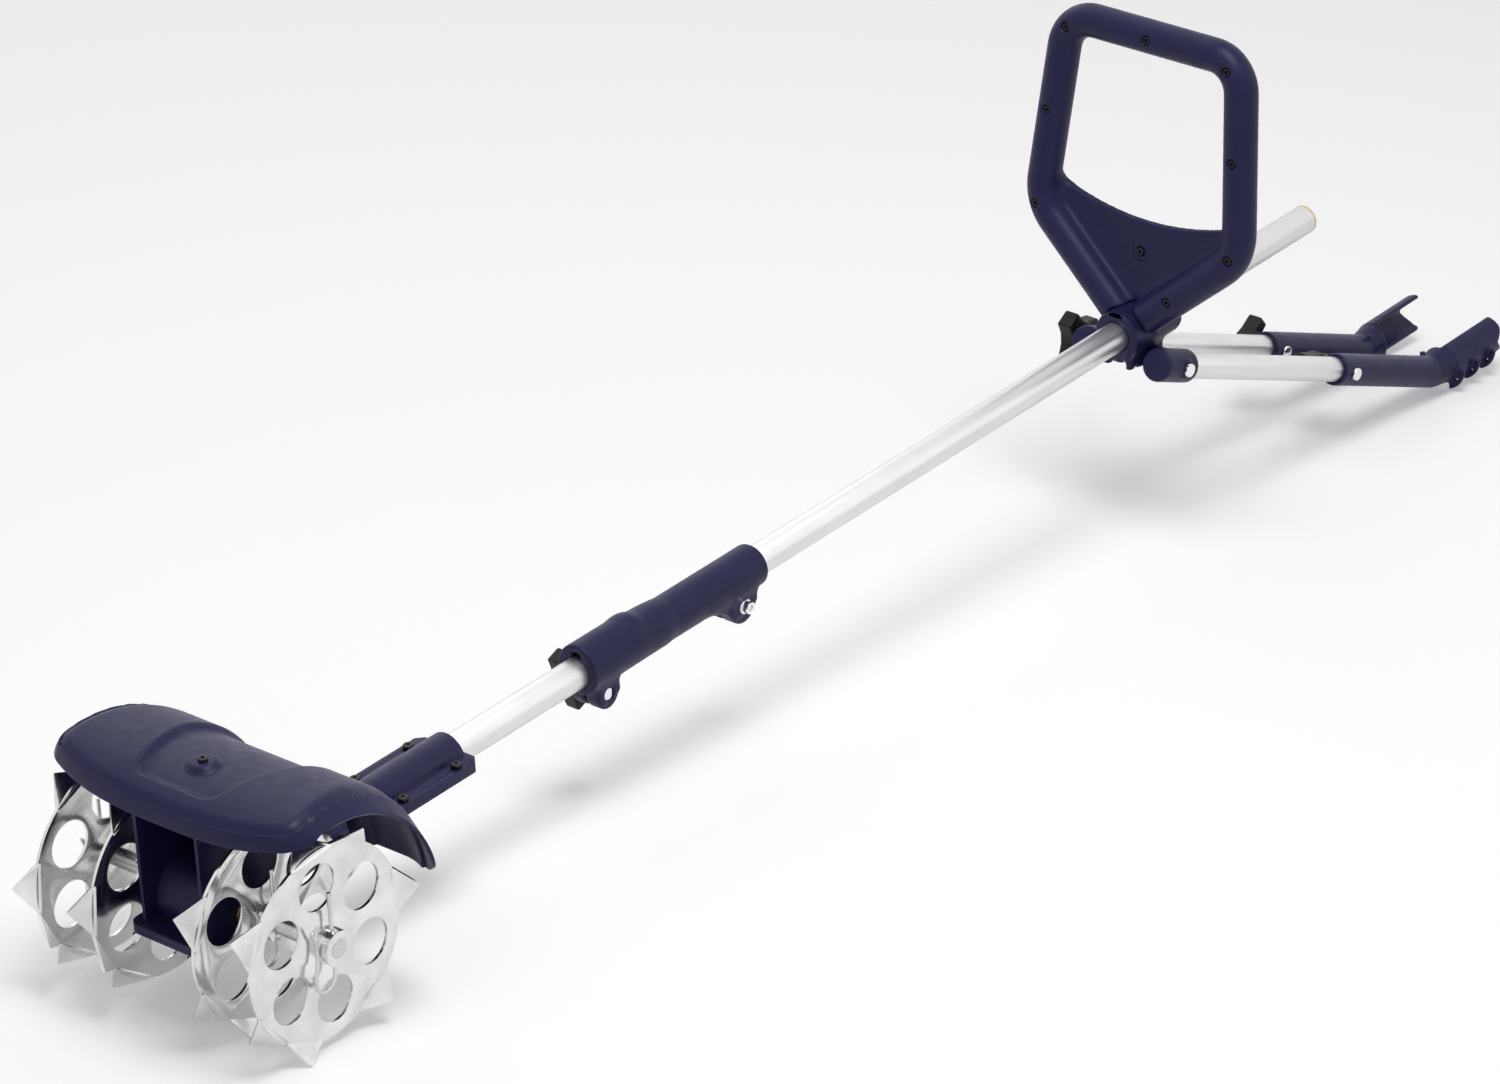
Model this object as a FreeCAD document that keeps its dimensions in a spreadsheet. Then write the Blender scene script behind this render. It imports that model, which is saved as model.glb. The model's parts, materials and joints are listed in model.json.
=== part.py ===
import FreeCAD, Part

import math
import os
import re

import Sketcher
from FreeCAD import Placement, Rotation, Vector

# Drill-powered cultivator. X runs up the drive tube towards the handle, Y along the tine axle, and the
# tube's own Z stands square to both. The origin of this shaft frame is where the tube's axis meets the
# axle's. Each finished piece is then turned about Y and lifted, so that the tool lies on its tines and
# saddles. All lengths are millimetres and all angles degrees.

doc = FreeCAD.newDocument("Cultivator")
sheet = doc.addObject("Spreadsheet::Sheet", "sizes")

SIZES = [
    # drive tube in two lengths
    ("tube_outer", 25.4), ("tube_wall", 1.5), ("tube_end", 1371.7), ("tube_insert", 60.0),
    ("neck_end", 255.0), ("coupler_start", 405.0), ("coupler_length", 223.0), ("tube_end_gap", 33.0),
    ("seat_clearance", 0.1), ("running_clearance", 0.05), ("face_gap", 0.3), ("cut_overrun", 2.0),
    # bevel gears and their shafts
    ("gear_module", 1.3), ("crown_teeth", 40), ("pinion_teeth", 12), ("gear_face", 9.0),
    ("gear_backlash", 0.35), ("pressure_angle", 20.0), ("gear_web", 4.0), ("crown_boss", 24.0),
    ("pinion_hub_length", 7.0), ("shaft_diameter", 8.0),
    ("joiner_outer", 14.0), ("joiner_length", 24.0), ("socket_outer", 16.0), ("socket_length", 34.0),
    ("socket_hex", 11.0), ("socket_depth", 24.0), ("socket_recess", 2.0), ("hex_across", 7.0),
    # plain bearings
    ("bush_length", 12.0), ("axle_bush_outer", 21.0), ("axle_bush_flange", 27.0), ("flange_thick", 2.0),
    ("pinion_bush_outer", 20.0), ("pinion_bush_length", 12.0),
    # gear housing
    ("case_front", 45.0), ("case_half_width", 32.4), ("case_back", 36.0), ("case_top", 109.0),
    ("case_wall", 3.0), ("gear_room", 29.5), ("parting_drop", 12.0), ("sill_reach", 8.0),
    ("sill_thick", 4.0), ("sill_corner", 9.0), ("neck_outer", 36.0), ("neck_flange_reach", 31.0),
    ("neck_flange_thick", 4.5), ("neck_flange_start", 120.0), ("neck_root_half", 26.0),
    ("neck_screw_far", 17.0), ("neck_screw_near", 77.0), ("neck_screw_side", 24.5),
    ("housing_screw_shank", 4.0), ("housing_screw_head", 9.0), ("housing_head_thick", 3.5),
    # hood
    ("hood_radius", 118.0), ("hood_wall", 3.0), ("hood_half_width", 128.0), ("hood_crease", 105.0),
    ("hood_end_radius", 101.0), ("panel_drop", 5.0), ("panel_half_width", 37.0), ("panel_slope", 14.0),
    ("hood_front_angle", 122.0), ("hood_front_end_angle", 109.0), ("hood_rear_angle", 8.0),
    ("hood_corner", 45.0), ("notch_half_width", 33.0),
    ("hood_boss", 26.0), ("hood_boss_rise", 3.0), ("hood_screw_head", 8.0),
    # tine discs, hubs and hairpins
    ("axle_diameter", 15.0), ("disc_inner_plane", 51.7), ("disc_outer_plane", 108.6),
    ("disc_thick", 2.5), ("disc_rim", 79.0), ("disc_hole", 37.5), ("disc_hole_circle", 49.6),
    ("tooth_chord", 41.0), ("tooth_height", 19.0), ("tooth_bend", 40.0), ("tooth_phase", 6.0),
    ("hole_phase", 35.0), ("hub_outer", 28.4), ("hub_length", 13.2), ("hub_bore_gap", 0.15),
    ("pin_wire", 3.0), ("pin_hole_gap", 0.2), ("pin_above", 31.0), ("pin_below", 19.0),
    ("pin_ring", 11.0), ("pin_stand_off", 17.5), ("axle_overhang", 0.3),
    # coupler between the two tubes
    ("coupler_outer", 36.0), ("coupler_low_outer", 40.0), ("coupler_top_lift", 4.0),
    ("coupler_low_length", 72.0), ("coupler_taper", 26.0), ("keyway_width", 9.0), ("keyway_rise", 4.5),
    ("keyway_length", 38.0), ("lug_half_width", 14.0), ("lug_slit", 3.0), ("low_lug_from_end", 20.0),
    ("low_lug_drop", 24.0), ("low_lug_radius", 12.7), ("up_lug_from_end", 38.0), ("up_lug_drop", 21.0),
    ("up_lug_radius", 15.5), ("lug_bolt", 6.0), ("bolt_gap", 0.4), ("bolt_head", 10.0),
    ("bolt_head_thick", 6.0), ("washer_outer", 13.0), ("washer_thick", 1.6), ("hex_key", 5.0),
    ("knob_radius", 21.0), ("knob_thick", 15.0), ("knob_hub", 15.0), ("knob_lobe", 7.0),
    ("knob_stem", 6.0),
    # loop handle
    ("handle_front", 1106.5), ("handle_lean", 9.48), ("loop_radius", 14.5), ("loop_top", 252.0),
    ("loop_top_half", 89.0), ("loop_low", 88.0), ("loop_low_half", 103.5), ("loop_foot", 12.0),
    ("loop_foot_half", 14.0), ("loop_top_corner", 30.0), ("loop_low_corner", 42.0), ("web_set_back", 6.0),
    ("web_thick", 8.0), ("shell_parting", 9.5), ("web_top_end", 114.0), ("web_top_middle", 93.0),
    ("web_boss", 14.0), ("web_boss_rise", 2.0), ("web_screw_height", 65.7), ("handle_screw", 4.0),
    ("handle_screw_head", 7.5), ("handle_head_deep", 2.0), ("collar_outer", 43.0),
    ("collar_front", 1100.0), ("collar_length", 66.0), ("ear_inner", 9.0), ("ear_outer", 14.0),
    ("ear_drop", 36.7), ("ear_length", 48.0), ("ear_notch", 9.0), ("collar_slit", 5.0),
    # drill arms
    ("pivot_back", 1131.0), ("pivot_drop", 29.3), ("arm_angle", 23.8), ("arm_half_gauge", 37.5),
    ("barrel_outer", 29.0), ("barrel_front", 27.5), ("barrel_back", 33.5), ("barrel_boss", 24.0),
    ("pivot_bolt_diameter", 8.0), ("pivot_head", 11.5), ("pivot_head_thick", 3.5), ("arm_tube_outer", 22.0),
    ("arm_tube_wall", 1.6), ("arm_tube_start", 10.0), ("saddle_start", 258.0), ("arm_in_saddle", 92.0),
    ("saddle_travel", 50.0), ("saddle_outer", 28.5), ("saddle_elbow", 414.0), ("saddle_bolt_in", 9.0),
    ("saddle_bolt", 5.0), ("saddle_bolt_head", 11.0), ("saddle_head_thick", 3.0), ("pad_radius", 18.0),
    ("pad_wall", 4.0), ("pad_length", 92.0), ("tail_depth", 9.0), ("lug_plate", 4.0), ("lug_rise", 7.0),
    ("lug_pitch", 24.0), ("saddle_knob_radius", 19.0), ("button_radius", 4.5), ("button_rise", 7.0),
]
ALIASES = {name for name, value in SIZES}

for row, (alias, value) in enumerate(SIZES, start=1):
    sheet.set(f"A{row}", alias)
    sheet.set(f"B{row}", str(value))
    sheet.setAlias(f"B{row}", alias)
doc.recompute()


def size(alias):
    """Value of one named size."""
    return float(sheet.get(alias))


def formula(text):
    """Expression text in which every size name points at the sheet."""
    def point(word):
        return "sizes." + word.group() if word.group() in ALIASES else word.group()
    return re.sub(r"[a-z][a-z_]+", point, text)


TURNS = {
    "x": Rotation(Vector(0, 1, 0), 90),
    "y": Rotation(Vector(1, 0, 0), -90),
    "z": Rotation(),
}


def solid(shape):
    """A helper object that carries a shape worked out in code."""
    obj = doc.addObject("Part::Feature", "form")
    obj.Shape = shape
    return obj


NODES = {}


def node(label, obj, local=None):
    """Register a finished piece under its own name and its place in the shaft frame."""
    obj.Label = label
    NODES[label] = (obj, local or Placement())
    return obj


def new_body(label, local):
    """Body whose own X axis is the piece's axis of revolution or its length."""
    obj = doc.addObject("PartDesign::Body", "body")
    return node(label, obj, local)


def plane(obj, role):
    """One of a body's own origin planes or axes."""
    return next(item for item in obj.Origin.OriginFeatures if item.Role == role)


def sketch_on(obj, role):
    """Sketch on an origin plane of the body."""
    sketch = obj.newObject("Sketcher::SketchObject", "outline")
    sketch.AttachmentSupport = (plane(obj, role), [""])
    sketch.MapMode = "FlatFace"
    return sketch


gauge = doc.addObject("App::FeaturePython", "gauge")


def evaluate(text):
    """Present value of a formula, as a plain number."""
    return float(gauge.evalExpression(formula(text)))


def draw_circle(sketch, diameter):
    """Circle about the sketch's origin, its diameter tied to a formula."""
    index = sketch.addGeometry(Part.Circle(Vector(), Vector(0, 0, 1), 1.0), False)
    sketch.addConstraint(Sketcher.Constraint("Coincident", index, 3, -1, 1))
    row = sketch.addConstraint(Sketcher.Constraint("Diameter", index, 2.0))
    sketch.setExpression(f"Constraints[{row}]", formula(diameter))


def draw_outline(sketch, points):
    """Closed outline whose corners are pairs of formulas, none of them below zero."""
    values = [(evaluate(across), evaluate(up)) for across, up in points]
    first = sketch.GeometryCount
    for index, point in enumerate(values):
        after = values[(index + 1) % len(values)]
        sketch.addGeometry(Part.LineSegment(Vector(*point), Vector(*after)), False)
    for index in range(len(points)):
        after = first + (index + 1) % len(points)
        sketch.addConstraint(Sketcher.Constraint("Coincident", first + index, 2, after, 1))
    for index, (across, up) in enumerate(points):
        sides = (("DistanceX", across, values[index][0]), ("DistanceY", up, values[index][1]))
        for kind, text, value in sides:
            if value == 0:
                axis_row = -2 if kind == "DistanceX" else -1
                sketch.addConstraint(Sketcher.Constraint("PointOnObject", first + index, 1, axis_row))
                continue
            row = sketch.addConstraint(Sketcher.Constraint(kind, -1, 1, first + index, 1, value))
            sketch.setExpression(f"Constraints[{row}]", formula(text))


def turned(label, points, local):
    """Piece turned about its own X axis from a half outline of (length, radius) formulas."""
    obj = new_body(label, local)
    sketch = sketch_on(obj, "XY_Plane")
    draw_outline(sketch, points)
    feature = obj.newObject("PartDesign::Revolution", "turning")
    feature.Profile = sketch
    feature.ReferenceAxis = (plane(obj, "X_Axis"), [""])
    feature.Angle = 360.0
    return obj


def tube_piece(label, outer, inner, length, local):
    """Round tube padded along its own Z axis."""
    obj = new_body(label, local)
    sketch = sketch_on(obj, "XY_Plane")
    draw_circle(sketch, outer)
    draw_circle(sketch, inner)
    feature = obj.newObject("PartDesign::Pad", "length")
    feature.Profile = sketch
    feature.setExpression("Length", formula(length))
    return obj


def along(axis, x=0.0, y=0.0, z=0.0):
    """Local placement that lays a piece's Z axis along X, Y or Z at a point."""
    return Placement(Vector(x, y, z), TURNS[axis])


def lathe(axis, x=0.0, y=0.0, z=0.0):
    """Local placement that lays a turned piece's X axis along X, Y, -Y or Z at a point."""
    turn = {"x": Rotation(), "y": Rotation(Vector(0, 0, 1), 90), "-y": Rotation(Vector(0, 0, 1), -90),
            "z": Rotation(Vector(0, 1, 0), -90), "-z": Rotation(Vector(0, 1, 0), 90),
            "-x": Rotation(Vector(0, 0, 1), 180)}[axis]
    return Placement(Vector(x, y, z), turn)


# Drive tube. The lower length is held in the housing's neck, the upper one runs through the handle,
# and both are clamped in the coupler.
tube_bore = "tube_outer - 2 * tube_wall"
lower_start = size("neck_end") - size("tube_insert")
lower_length = "coupler_start + (coupler_length - tube_end_gap) / 2 - neck_end + tube_insert"
tube_piece("lower_tube", "tube_outer", tube_bore, lower_length, along("x", lower_start))
coupler_middle = size("coupler_start") + size("coupler_length") / 2
upper_start = coupler_middle + size("tube_end_gap") / 2
upper_length = "tube_end - coupler_start - (coupler_length + tube_end_gap) / 2"
tube_piece("upper_tube", "tube_outer", tube_bore, upper_length, along("x", upper_start))

# Bevel gears. Both cones meet at the crossing of the two axes. The teeth taper to that point, so each
# gear is a star drawn on a plane square to its axis and drawn in to the apex, trimmed by its blank.
crown_pitch = size("gear_module") * size("crown_teeth") / 2
pinion_pitch = size("gear_module") * size("pinion_teeth") / 2
cone_distance = math.hypot(crown_pitch, pinion_pitch)
TOOTH_HALF_SHARE = 0.5
ADDENDUM_SHARE = 0.9
DEDENDUM_SHARE = 1.2


def bevel_star(teeth, pitch_radius, apex_distance, first_tooth):
    """Corner points of a gear's teeth on the plane at apex_distance from the apex."""
    module = size("gear_module")
    pitch_angle = math.atan2(pitch_radius, apex_distance)
    lean = math.tan(math.radians(size("pressure_angle")))
    half = TOOTH_HALF_SHARE * math.pi * module / 2 - size("gear_backlash") / 2
    points = []
    levels = (-DEDENDUM_SHARE, 0.0, ADDENDUM_SHARE)
    for tooth in range(int(teeth)):
        middle = first_tooth + 2 * math.pi * tooth / teeth
        for side, order in ((-1, levels), (1, levels[::-1])):
            for level in order:
                angle = pitch_angle + math.atan(level * module / cone_distance)
                width = half - level * module * lean
                turn = side * width / (cone_distance * math.sin(angle))
                radius = apex_distance * math.tan(angle)
                points.append(Vector(radius * math.cos(middle + turn), radius * math.sin(middle + turn),
                                     apex_distance))
    return points


def bevel_teeth(teeth, pitch_radius, apex_distance, first_tooth):
    """Toothed frustum about Z with its apex at the origin, before it is trimmed."""
    outline = bevel_star(teeth, pitch_radius, apex_distance, first_tooth)
    wires = []
    for share in (OUTER_STAR_SHARE, INNER_STAR_SHARE):
        ring = [point * share for point in outline]
        wires.append(Part.makePolygon(ring + ring[:1]))
    return Part.makeLoft(wires, True, True)


def bevel_blank(pitch_radius, apex_distance, bore):
    """Half outline of a gear blank between its heel and toe cones, turned about Z."""
    pitch_angle = math.atan2(pitch_radius, apex_distance)
    module = size("gear_module")
    heel = cone_distance
    toe = cone_distance - size("gear_face")
    face_angle = pitch_angle + math.atan(2 * module / cone_distance)
    root_angle = pitch_angle - math.atan((DEDENDUM_SHARE * module + size("gear_web") / 2) / cone_distance)
    corners = []
    for reach, angle in ((toe, face_angle), (heel, face_angle), (heel, root_angle), (toe, root_angle)):
        slant = reach / math.cos(angle - pitch_angle)
        corners.append((slant * math.sin(angle), slant * math.cos(angle)))
    return corners


OUTER_STAR_SHARE = 1.3
INNER_STAR_SHARE = 0.45


def revolve_z(corners):
    """Solid turned about Z from (radius, height) corners."""
    points = [Vector(radius, 0, height) for radius, height in corners]
    face = Part.Face(Part.makePolygon(points + points[:1]))
    return face.revolve(Vector(), Vector(0, 0, 1), 360)


def bevel_gear(teeth, pitch_radius, apex_distance, first_tooth, body_corners, bore):
    """One finished bevel gear about Z, its apex at the origin."""
    ring = revolve_z(bevel_blank(pitch_radius, apex_distance, bore))
    toothed = bevel_teeth(teeth, pitch_radius, apex_distance, first_tooth).common(ring)
    body = revolve_z(body_corners)
    hole = Part.makeCylinder(bore, 4 * cone_distance, Vector(0, 0, -2 * cone_distance))
    return toothed.fuse(body).cut(hole).removeSplitter()


axle_bore = size("axle_diameter") / 2 + size("seat_clearance") / 2
root_lift = DEDENDUM_SHARE * size("gear_module")
crown_back = pinion_pitch + root_lift + size("gear_web")
crown_toe = crown_pitch * (cone_distance - size("gear_face")) / cone_distance
crown_corners = [
    (size("crown_boss") / 2, pinion_pitch), (crown_toe, pinion_pitch),
    (crown_pitch, pinion_pitch + root_lift), (crown_pitch, crown_back),
    (size("crown_boss") / 2, crown_back), (size("crown_boss") / 2, crown_back + size("gear_web")),
    (axle_bore, crown_back + size("gear_web")), (axle_bore, pinion_pitch),
]
crown_shape = bevel_gear(size("crown_teeth"), crown_pitch, pinion_pitch, 0.0, crown_corners, axle_bore)
# The crown's axis is laid along +Y and its first gap is turned to face the pinion.
crown_turn = Rotation(Vector(1, 0, 0), -90).multiply(Rotation(Vector(0, 0, 1), 180 / size("crown_teeth")))
node("crown_gear", solid(crown_shape), Placement(Vector(), crown_turn))

pinion_bore = size("shaft_diameter") / 2 + size("seat_clearance") / 2
pinion_root = pinion_pitch - root_lift
pinion_toe = crown_pitch * (cone_distance - size("gear_face")) / cone_distance
pinion_end = crown_pitch + size("pinion_hub_length")
pinion_corners = [
    (pinion_bore, pinion_toe), (pinion_root * pinion_toe / crown_pitch, pinion_toe),
    (pinion_root, crown_pitch), (pinion_root, pinion_end), (pinion_bore, pinion_end),
]
pinion_shape = bevel_gear(size("pinion_teeth"), pinion_pitch, crown_pitch, 0.0, pinion_corners, pinion_bore)
# A tooth of the pinion points at the crown, towards +Y.
pinion_turn = Rotation(Vector(0, 1, 0), 90).multiply(Rotation(Vector(0, 0, 1), 90))
node("bevel_pinion", solid(pinion_shape), Placement(Vector(), pinion_turn))

# Drive shafts. The lower one carries the pinion, the joiner is pressed on the upper one and takes the
# lower one's hexagonal end, and the socket at the top takes the bit that the drill holds.
shaft_start = pinion_toe
half_joiner = size("joiner_length") / 2
joiner_start = coupler_middle - half_joiner
gap = size("face_gap")


def hexagon(across, length, start):
    """Hexagonal bar along +X."""
    corner = across / math.sqrt(3)
    points = [Vector(start, corner * math.cos(i * math.pi / 3), corner * math.sin(i * math.pi / 3))
              for i in range(7)]
    return Part.Face(Part.makePolygon(points)).extrude(Vector(length, 0, 0))


def round_x(diameter, start, end):
    """Round bar along +X between two stations."""
    return Part.makeCylinder(diameter / 2, end - start, Vector(start, 0, 0), Vector(1, 0, 0))


shaft = size("shaft_diameter")
hex_end = joiner_start + half_joiner - gap
lower_shaft = round_x(shaft, shaft_start, joiner_start - gap)
lower_shaft = lower_shaft.fuse(hexagon(size("hex_across"), hex_end - joiner_start + gap, joiner_start - gap))
node("lower_drive_shaft", solid(lower_shaft.removeSplitter()))
joiner = round_x(size("joiner_outer"), joiner_start, joiner_start + size("joiner_length"))
joiner = joiner.cut(hexagon(size("hex_across") + 2 * size("seat_clearance"), half_joiner, joiner_start))
joiner = joiner.cut(round_x(shaft + size("seat_clearance"), joiner_start + half_joiner,
                            joiner_start + size("joiner_length")))
node("shaft_joiner", solid(joiner))
socket_end = size("tube_end") - size("socket_recess")
socket_start = socket_end - size("socket_length")
web_start = socket_end - size("socket_depth")
node("upper_drive_shaft", solid(round_x(shaft, joiner_start + half_joiner + gap, web_start - gap)))
socket = round_x(size("socket_outer"), socket_start, socket_end)
socket = socket.cut(hexagon(size("socket_hex"), size("socket_depth"), web_start))
socket = socket.cut(round_x(shaft + size("seat_clearance"), socket_start, web_start))
node("drive_socket", solid(socket))

# Plain bearings: one behind the pinion, one at each inner end of the tubes, and the brass one that
# shows as a thin ring at the top.
shaft_run = "shaft_diameter / 2 + running_clearance"
bore_fit = "tube_outer / 2 - tube_wall - seat_clearance / 2"
inner_bush = [("0", shaft_run), ("bush_length", shaft_run), ("bush_length", bore_fit), ("0", bore_fit)]
turned("lower_shaft_bush", inner_bush, lathe("x", lower_start))
turned("upper_shaft_bush", inner_bush, lathe("x", upper_start))
mouth_bush = [("0", shaft_run), ("bush_length", shaft_run), ("bush_length", bore_fit), ("0", bore_fit)]
lower_mouth = coupler_middle - size("tube_end_gap") / 2 - size("bush_length")
turned("coupler_shaft_bush", mouth_bush, lathe("x", lower_mouth))
socket_run = "socket_outer / 2 + running_clearance"
top_bush = [
    ("0", socket_run), ("bush_length + flange_thick", socket_run),
    ("bush_length + flange_thick", "tube_outer / 2 - seat_clearance"),
    ("bush_length", "tube_outer / 2 - seat_clearance"), ("bush_length", bore_fit), ("0", bore_fit),
]
turned("top_bush", top_bush, lathe("x", size("tube_end") - size("bush_length")))


def box_between(low, high):
    """Box from its low corner to its high corner."""
    return Part.makeBox(high[0] - low[0], high[1] - low[1], high[2] - low[2], Vector(*low))


def round_y(radius, start, end, x=0.0, z=0.0):
    """Round bar along +Y between two stations."""
    return Part.makeCylinder(radius, end - start, Vector(x, start, z), Vector(0, 1, 0))


def round_z(radius, start, end, x=0.0, y=0.0):
    """Round bar along +Z between two stations."""
    return Part.makeCylinder(radius, end - start, Vector(x, y, start), Vector(0, 0, 1))


def prism(points, direction):
    """Extruded flat outline."""
    return Part.Face(Part.makePolygon(points + points[:1])).extrude(direction)


def mirrored_y(shape):
    """The shape and its image on the other side of the tube, as a list."""
    return [shape, shape.mirror(Vector(), Vector(0, 1, 0))]


def rounded(shape, radius, test):
    """Fillet on the edges that a test picks."""
    edges = [edge for edge in shape.Edges if test(edge)]
    return shape.makeFillet(radius, edges)


# Gear housing. The open-fronted tower carries the hood, the round case behind it holds the gears, and
# the neck grips the tube. The two shells meet on the axle's level along the neck and lower down round
# the tower, where they have a sill.
front = -size("case_front")
half = size("case_half_width")
wall = size("case_wall")
back = size("case_back")
over = size("cut_overrun")
drop = size("parting_drop")
room = size("gear_room")
case_radius = room + wall
neck_radius = size("neck_outer") / 2
neck_end = size("neck_end")
flange_reach = size("neck_flange_reach")
flange_thick = size("neck_flange_thick")

tower = box_between((front, -half, -drop), (back, half, size("case_top")))
pocket = box_between((front - over, -half + wall, -drop), (back - wall, half - wall, size("case_top") - wall))
case_drum = round_y(case_radius, -half, half)
under_hood = size("hood_radius") - size("panel_drop") - size("hood_wall") - gap
tower = tower.common(round_y(under_hood, -half, half))
pocket = pocket.common(round_y(under_hood - wall, -half, half))
tower = tower.cut(pocket).fuse(case_drum)
rib = box_between((-wall, -half + wall, 0), (0, half - wall, size("case_top") - wall))
rib = rib.translated(Vector(case_radius / 2, 0, 0))
sill = box_between((front - size("sill_reach"), -half - size("sill_reach"), -drop - size("sill_thick")),
                   (back + size("sill_reach"), half + size("sill_reach"), -drop + size("sill_thick")))
corner = size("sill_corner")
sill = rounded(sill, corner, lambda edge: abs(edge.tangentAt(edge.FirstParameter).z) > 0.9)
root = Part.makeCone(size("neck_root_half"), neck_radius, size("neck_flange_start") - back,
                     Vector(back, 0, 0), Vector(1, 0, 0))
neck = root.fuse(round_x(2 * neck_radius, size("neck_flange_start"), neck_end))
flange_points = [
    (size("neck_flange_start") - (flange_reach - neck_radius), neck_radius / 2),
    (size("neck_flange_start"), flange_reach), (neck_end - wall, flange_reach),
    (neck_end + wall, flange_reach - 2 * wall), (neck_end + wall, neck_radius - wall),
]
flange_corners = [Vector(x, y, -flange_thick) for x, y in flange_points]
flange_corners += [Vector(x, -y, -flange_thick) for x, y in reversed(flange_points)]
flanges = prism(flange_corners, Vector(0, 0, 2 * flange_thick))
body = tower.fuse([rib, sill, neck, flanges])

gear_space = round_y(room, -half + wall, half - wall)
tube_seat = size("tube_outer") + 2 * size("seat_clearance")
shaft_space = round_x(tube_seat, lower_start, neck_end + 2 * wall)
bush_start = crown_pitch + size("pinion_hub_length") + gap
bush_end = bush_start + size("pinion_bush_length")
free_shaft = round_x(size("pinion_bush_outer") - 2 * wall, bush_start - over, lower_start + over)
bush_seat = round_x(size("pinion_bush_outer") + size("seat_clearance"), room - over, bush_end)
axle_seat = round_y((size("axle_bush_outer") + size("seat_clearance")) / 2, -half - over, half + over)
flange_room = size("axle_bush_flange") / 2 + size("seat_clearance")
flange_seats = [round_y(flange_room, half, half + 2 * size("sill_reach")),
                round_y(flange_room, -half - 2 * size("sill_reach"), -half)]
screw_hole = size("housing_screw_shank") / 2 + size("seat_clearance")
neck_screws = [(neck_end - size("neck_screw_far"), side * size("neck_screw_side")) for side in (-1, 1)]
neck_screws += [(neck_end - size("neck_screw_near"), side * size("neck_screw_side")) for side in (-1, 1)]
sill_side = half + size("sill_reach") / 2
sill_screws = [(x, side * sill_side) for x in (front / 2, back / 2) for side in (-1, 1)]
holes = [round_z(screw_hole, -flange_thick - over, flange_thick + over, x, y) for x, y in neck_screws]
sill_low = -drop - size("sill_thick")
sill_high = -drop + size("sill_thick")
holes += [round_z(screw_hole, sill_low - over, sill_high - gap, x, y) for x, y in sill_screws]
hood_post = round_z(size("hood_boss") / 2 - size("hood_wall"), size("case_top") - 4 * wall, size("case_top"))
hood_hole = round_z(screw_hole, size("case_top") - 4 * wall, under_hood + over)
body = body.fuse(hood_post)
body = body.cut([gear_space, shaft_space, free_shaft, bush_seat, axle_seat, hood_hole] + flange_seats + holes)

far = 2 * size("neck_end")
split_at = back + size("sill_reach")
above = box_between((-far, -far, -drop), (split_at, far, far))
above = above.fuse(box_between((split_at, -far, 0), (far, far, far)))
below = box_between((-far, -far, -far), (far, far, far)).cut(above)
top_shell = body.common(above).removeSplitter()
bottom_shell = body.common(below).removeSplitter()
node("gearbox_top_shell", solid(top_shell))
node("gearbox_bottom_shell", solid(bottom_shell))

# Bearings of the axle in the case's side walls, and of the pinion shaft in the root of the neck.
axle_run = "axle_diameter / 2 + running_clearance"
axle_bush = [
    ("0", axle_run), ("case_wall + flange_thick", axle_run),
    ("case_wall + flange_thick", "axle_bush_flange / 2"), ("case_wall", "axle_bush_flange / 2"),
    ("case_wall", "axle_bush_outer / 2"), ("0", "axle_bush_outer / 2"),
]
turned("axle_bush_left", axle_bush, lathe("y", 0, half - wall, 0))
turned("axle_bush_right", axle_bush, lathe("-y", 0, wall - half, 0))
pinion_bush = [
    ("0", shaft_run), ("pinion_bush_length", shaft_run),
    ("pinion_bush_length", "pinion_bush_outer / 2"), ("0", "pinion_bush_outer / 2"),
]
turned("pinion_bush", pinion_bush, lathe("x", bush_start))


SOCKET_SHARE = 0.7


def screw(head_diameter, head_thick, shank_diameter, shank_length):
    """Pan-head screw about Z with its head's underside at zero and a hexagonal socket."""
    head = round_z(head_diameter / 2, 0, head_thick)
    head = head.makeFillet(head_thick / 3, [head.Edges[0]])
    shank = round_z(shank_diameter / 2, -shank_length, 0)
    across = shank_diameter * SOCKET_SHARE
    socket = hexagon(across, head_thick, 0)
    socket.Placement = Placement(Vector(0, 0, head_thick / 2), Rotation(Vector(0, 1, 0), -90))
    return head.fuse(shank).cut(socket).removeSplitter()


def screws_at(shape, places):
    """Copies of a fastener at several placements, as one compound."""
    copies = []
    for spot in places:
        copy = shape.copy()
        copy.Placement = spot
        copies.append(copy)
    return Part.makeCompound(copies)


down = Rotation(Vector(1, 0, 0), 180)
housing_screw = screw(size("housing_screw_head"), size("housing_head_thick"), size("housing_screw_shank"),
                      2 * flange_thick - gap)
sill_screw = screw(size("housing_screw_head") - size("housing_screw_shank") / 2, size("housing_head_thick"),
                   size("housing_screw_shank"), 2 * size("sill_thick") - 2 * gap)
neck_set = screws_at(housing_screw, [Placement(Vector(x, y, flange_thick), Rotation())
                                     for x, y in neck_screws])
sill_set = screws_at(sill_screw, [Placement(Vector(x, y, sill_low), down) for x, y in sill_screws])
node("housing_screws", solid(Part.makeCompound(neck_set.Solids + sill_set.Solids)))


# Hood. Sections square to the axle give a shell that is high over the tines, drawn in at the ends and
# sunk along the middle panel. Its front edge comes furthest down in the middle.
def hood_section(y, radius, last_angle, thickness, rear_angle):
    """Closed curve of the hood at one station along the axle."""
    angles = [rear_angle, (rear_angle + last_angle) / 2, last_angle]
    outer = [Vector(radius * math.cos(math.radians(angle)), y, radius * math.sin(math.radians(angle)))
             for angle in angles]
    inner_radius = radius - thickness
    inner = [point * (inner_radius / radius) + Vector(0, y * (1 - inner_radius / radius), 0)
             for point in outer]
    edges = [Part.Arc(*outer).toShape(), Part.makeLine(outer[2], inner[2]),
             Part.Arc(inner[2], inner[1], inner[0]).toShape(), Part.makeLine(inner[0], outer[0])]
    return Part.Wire(edges)


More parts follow.
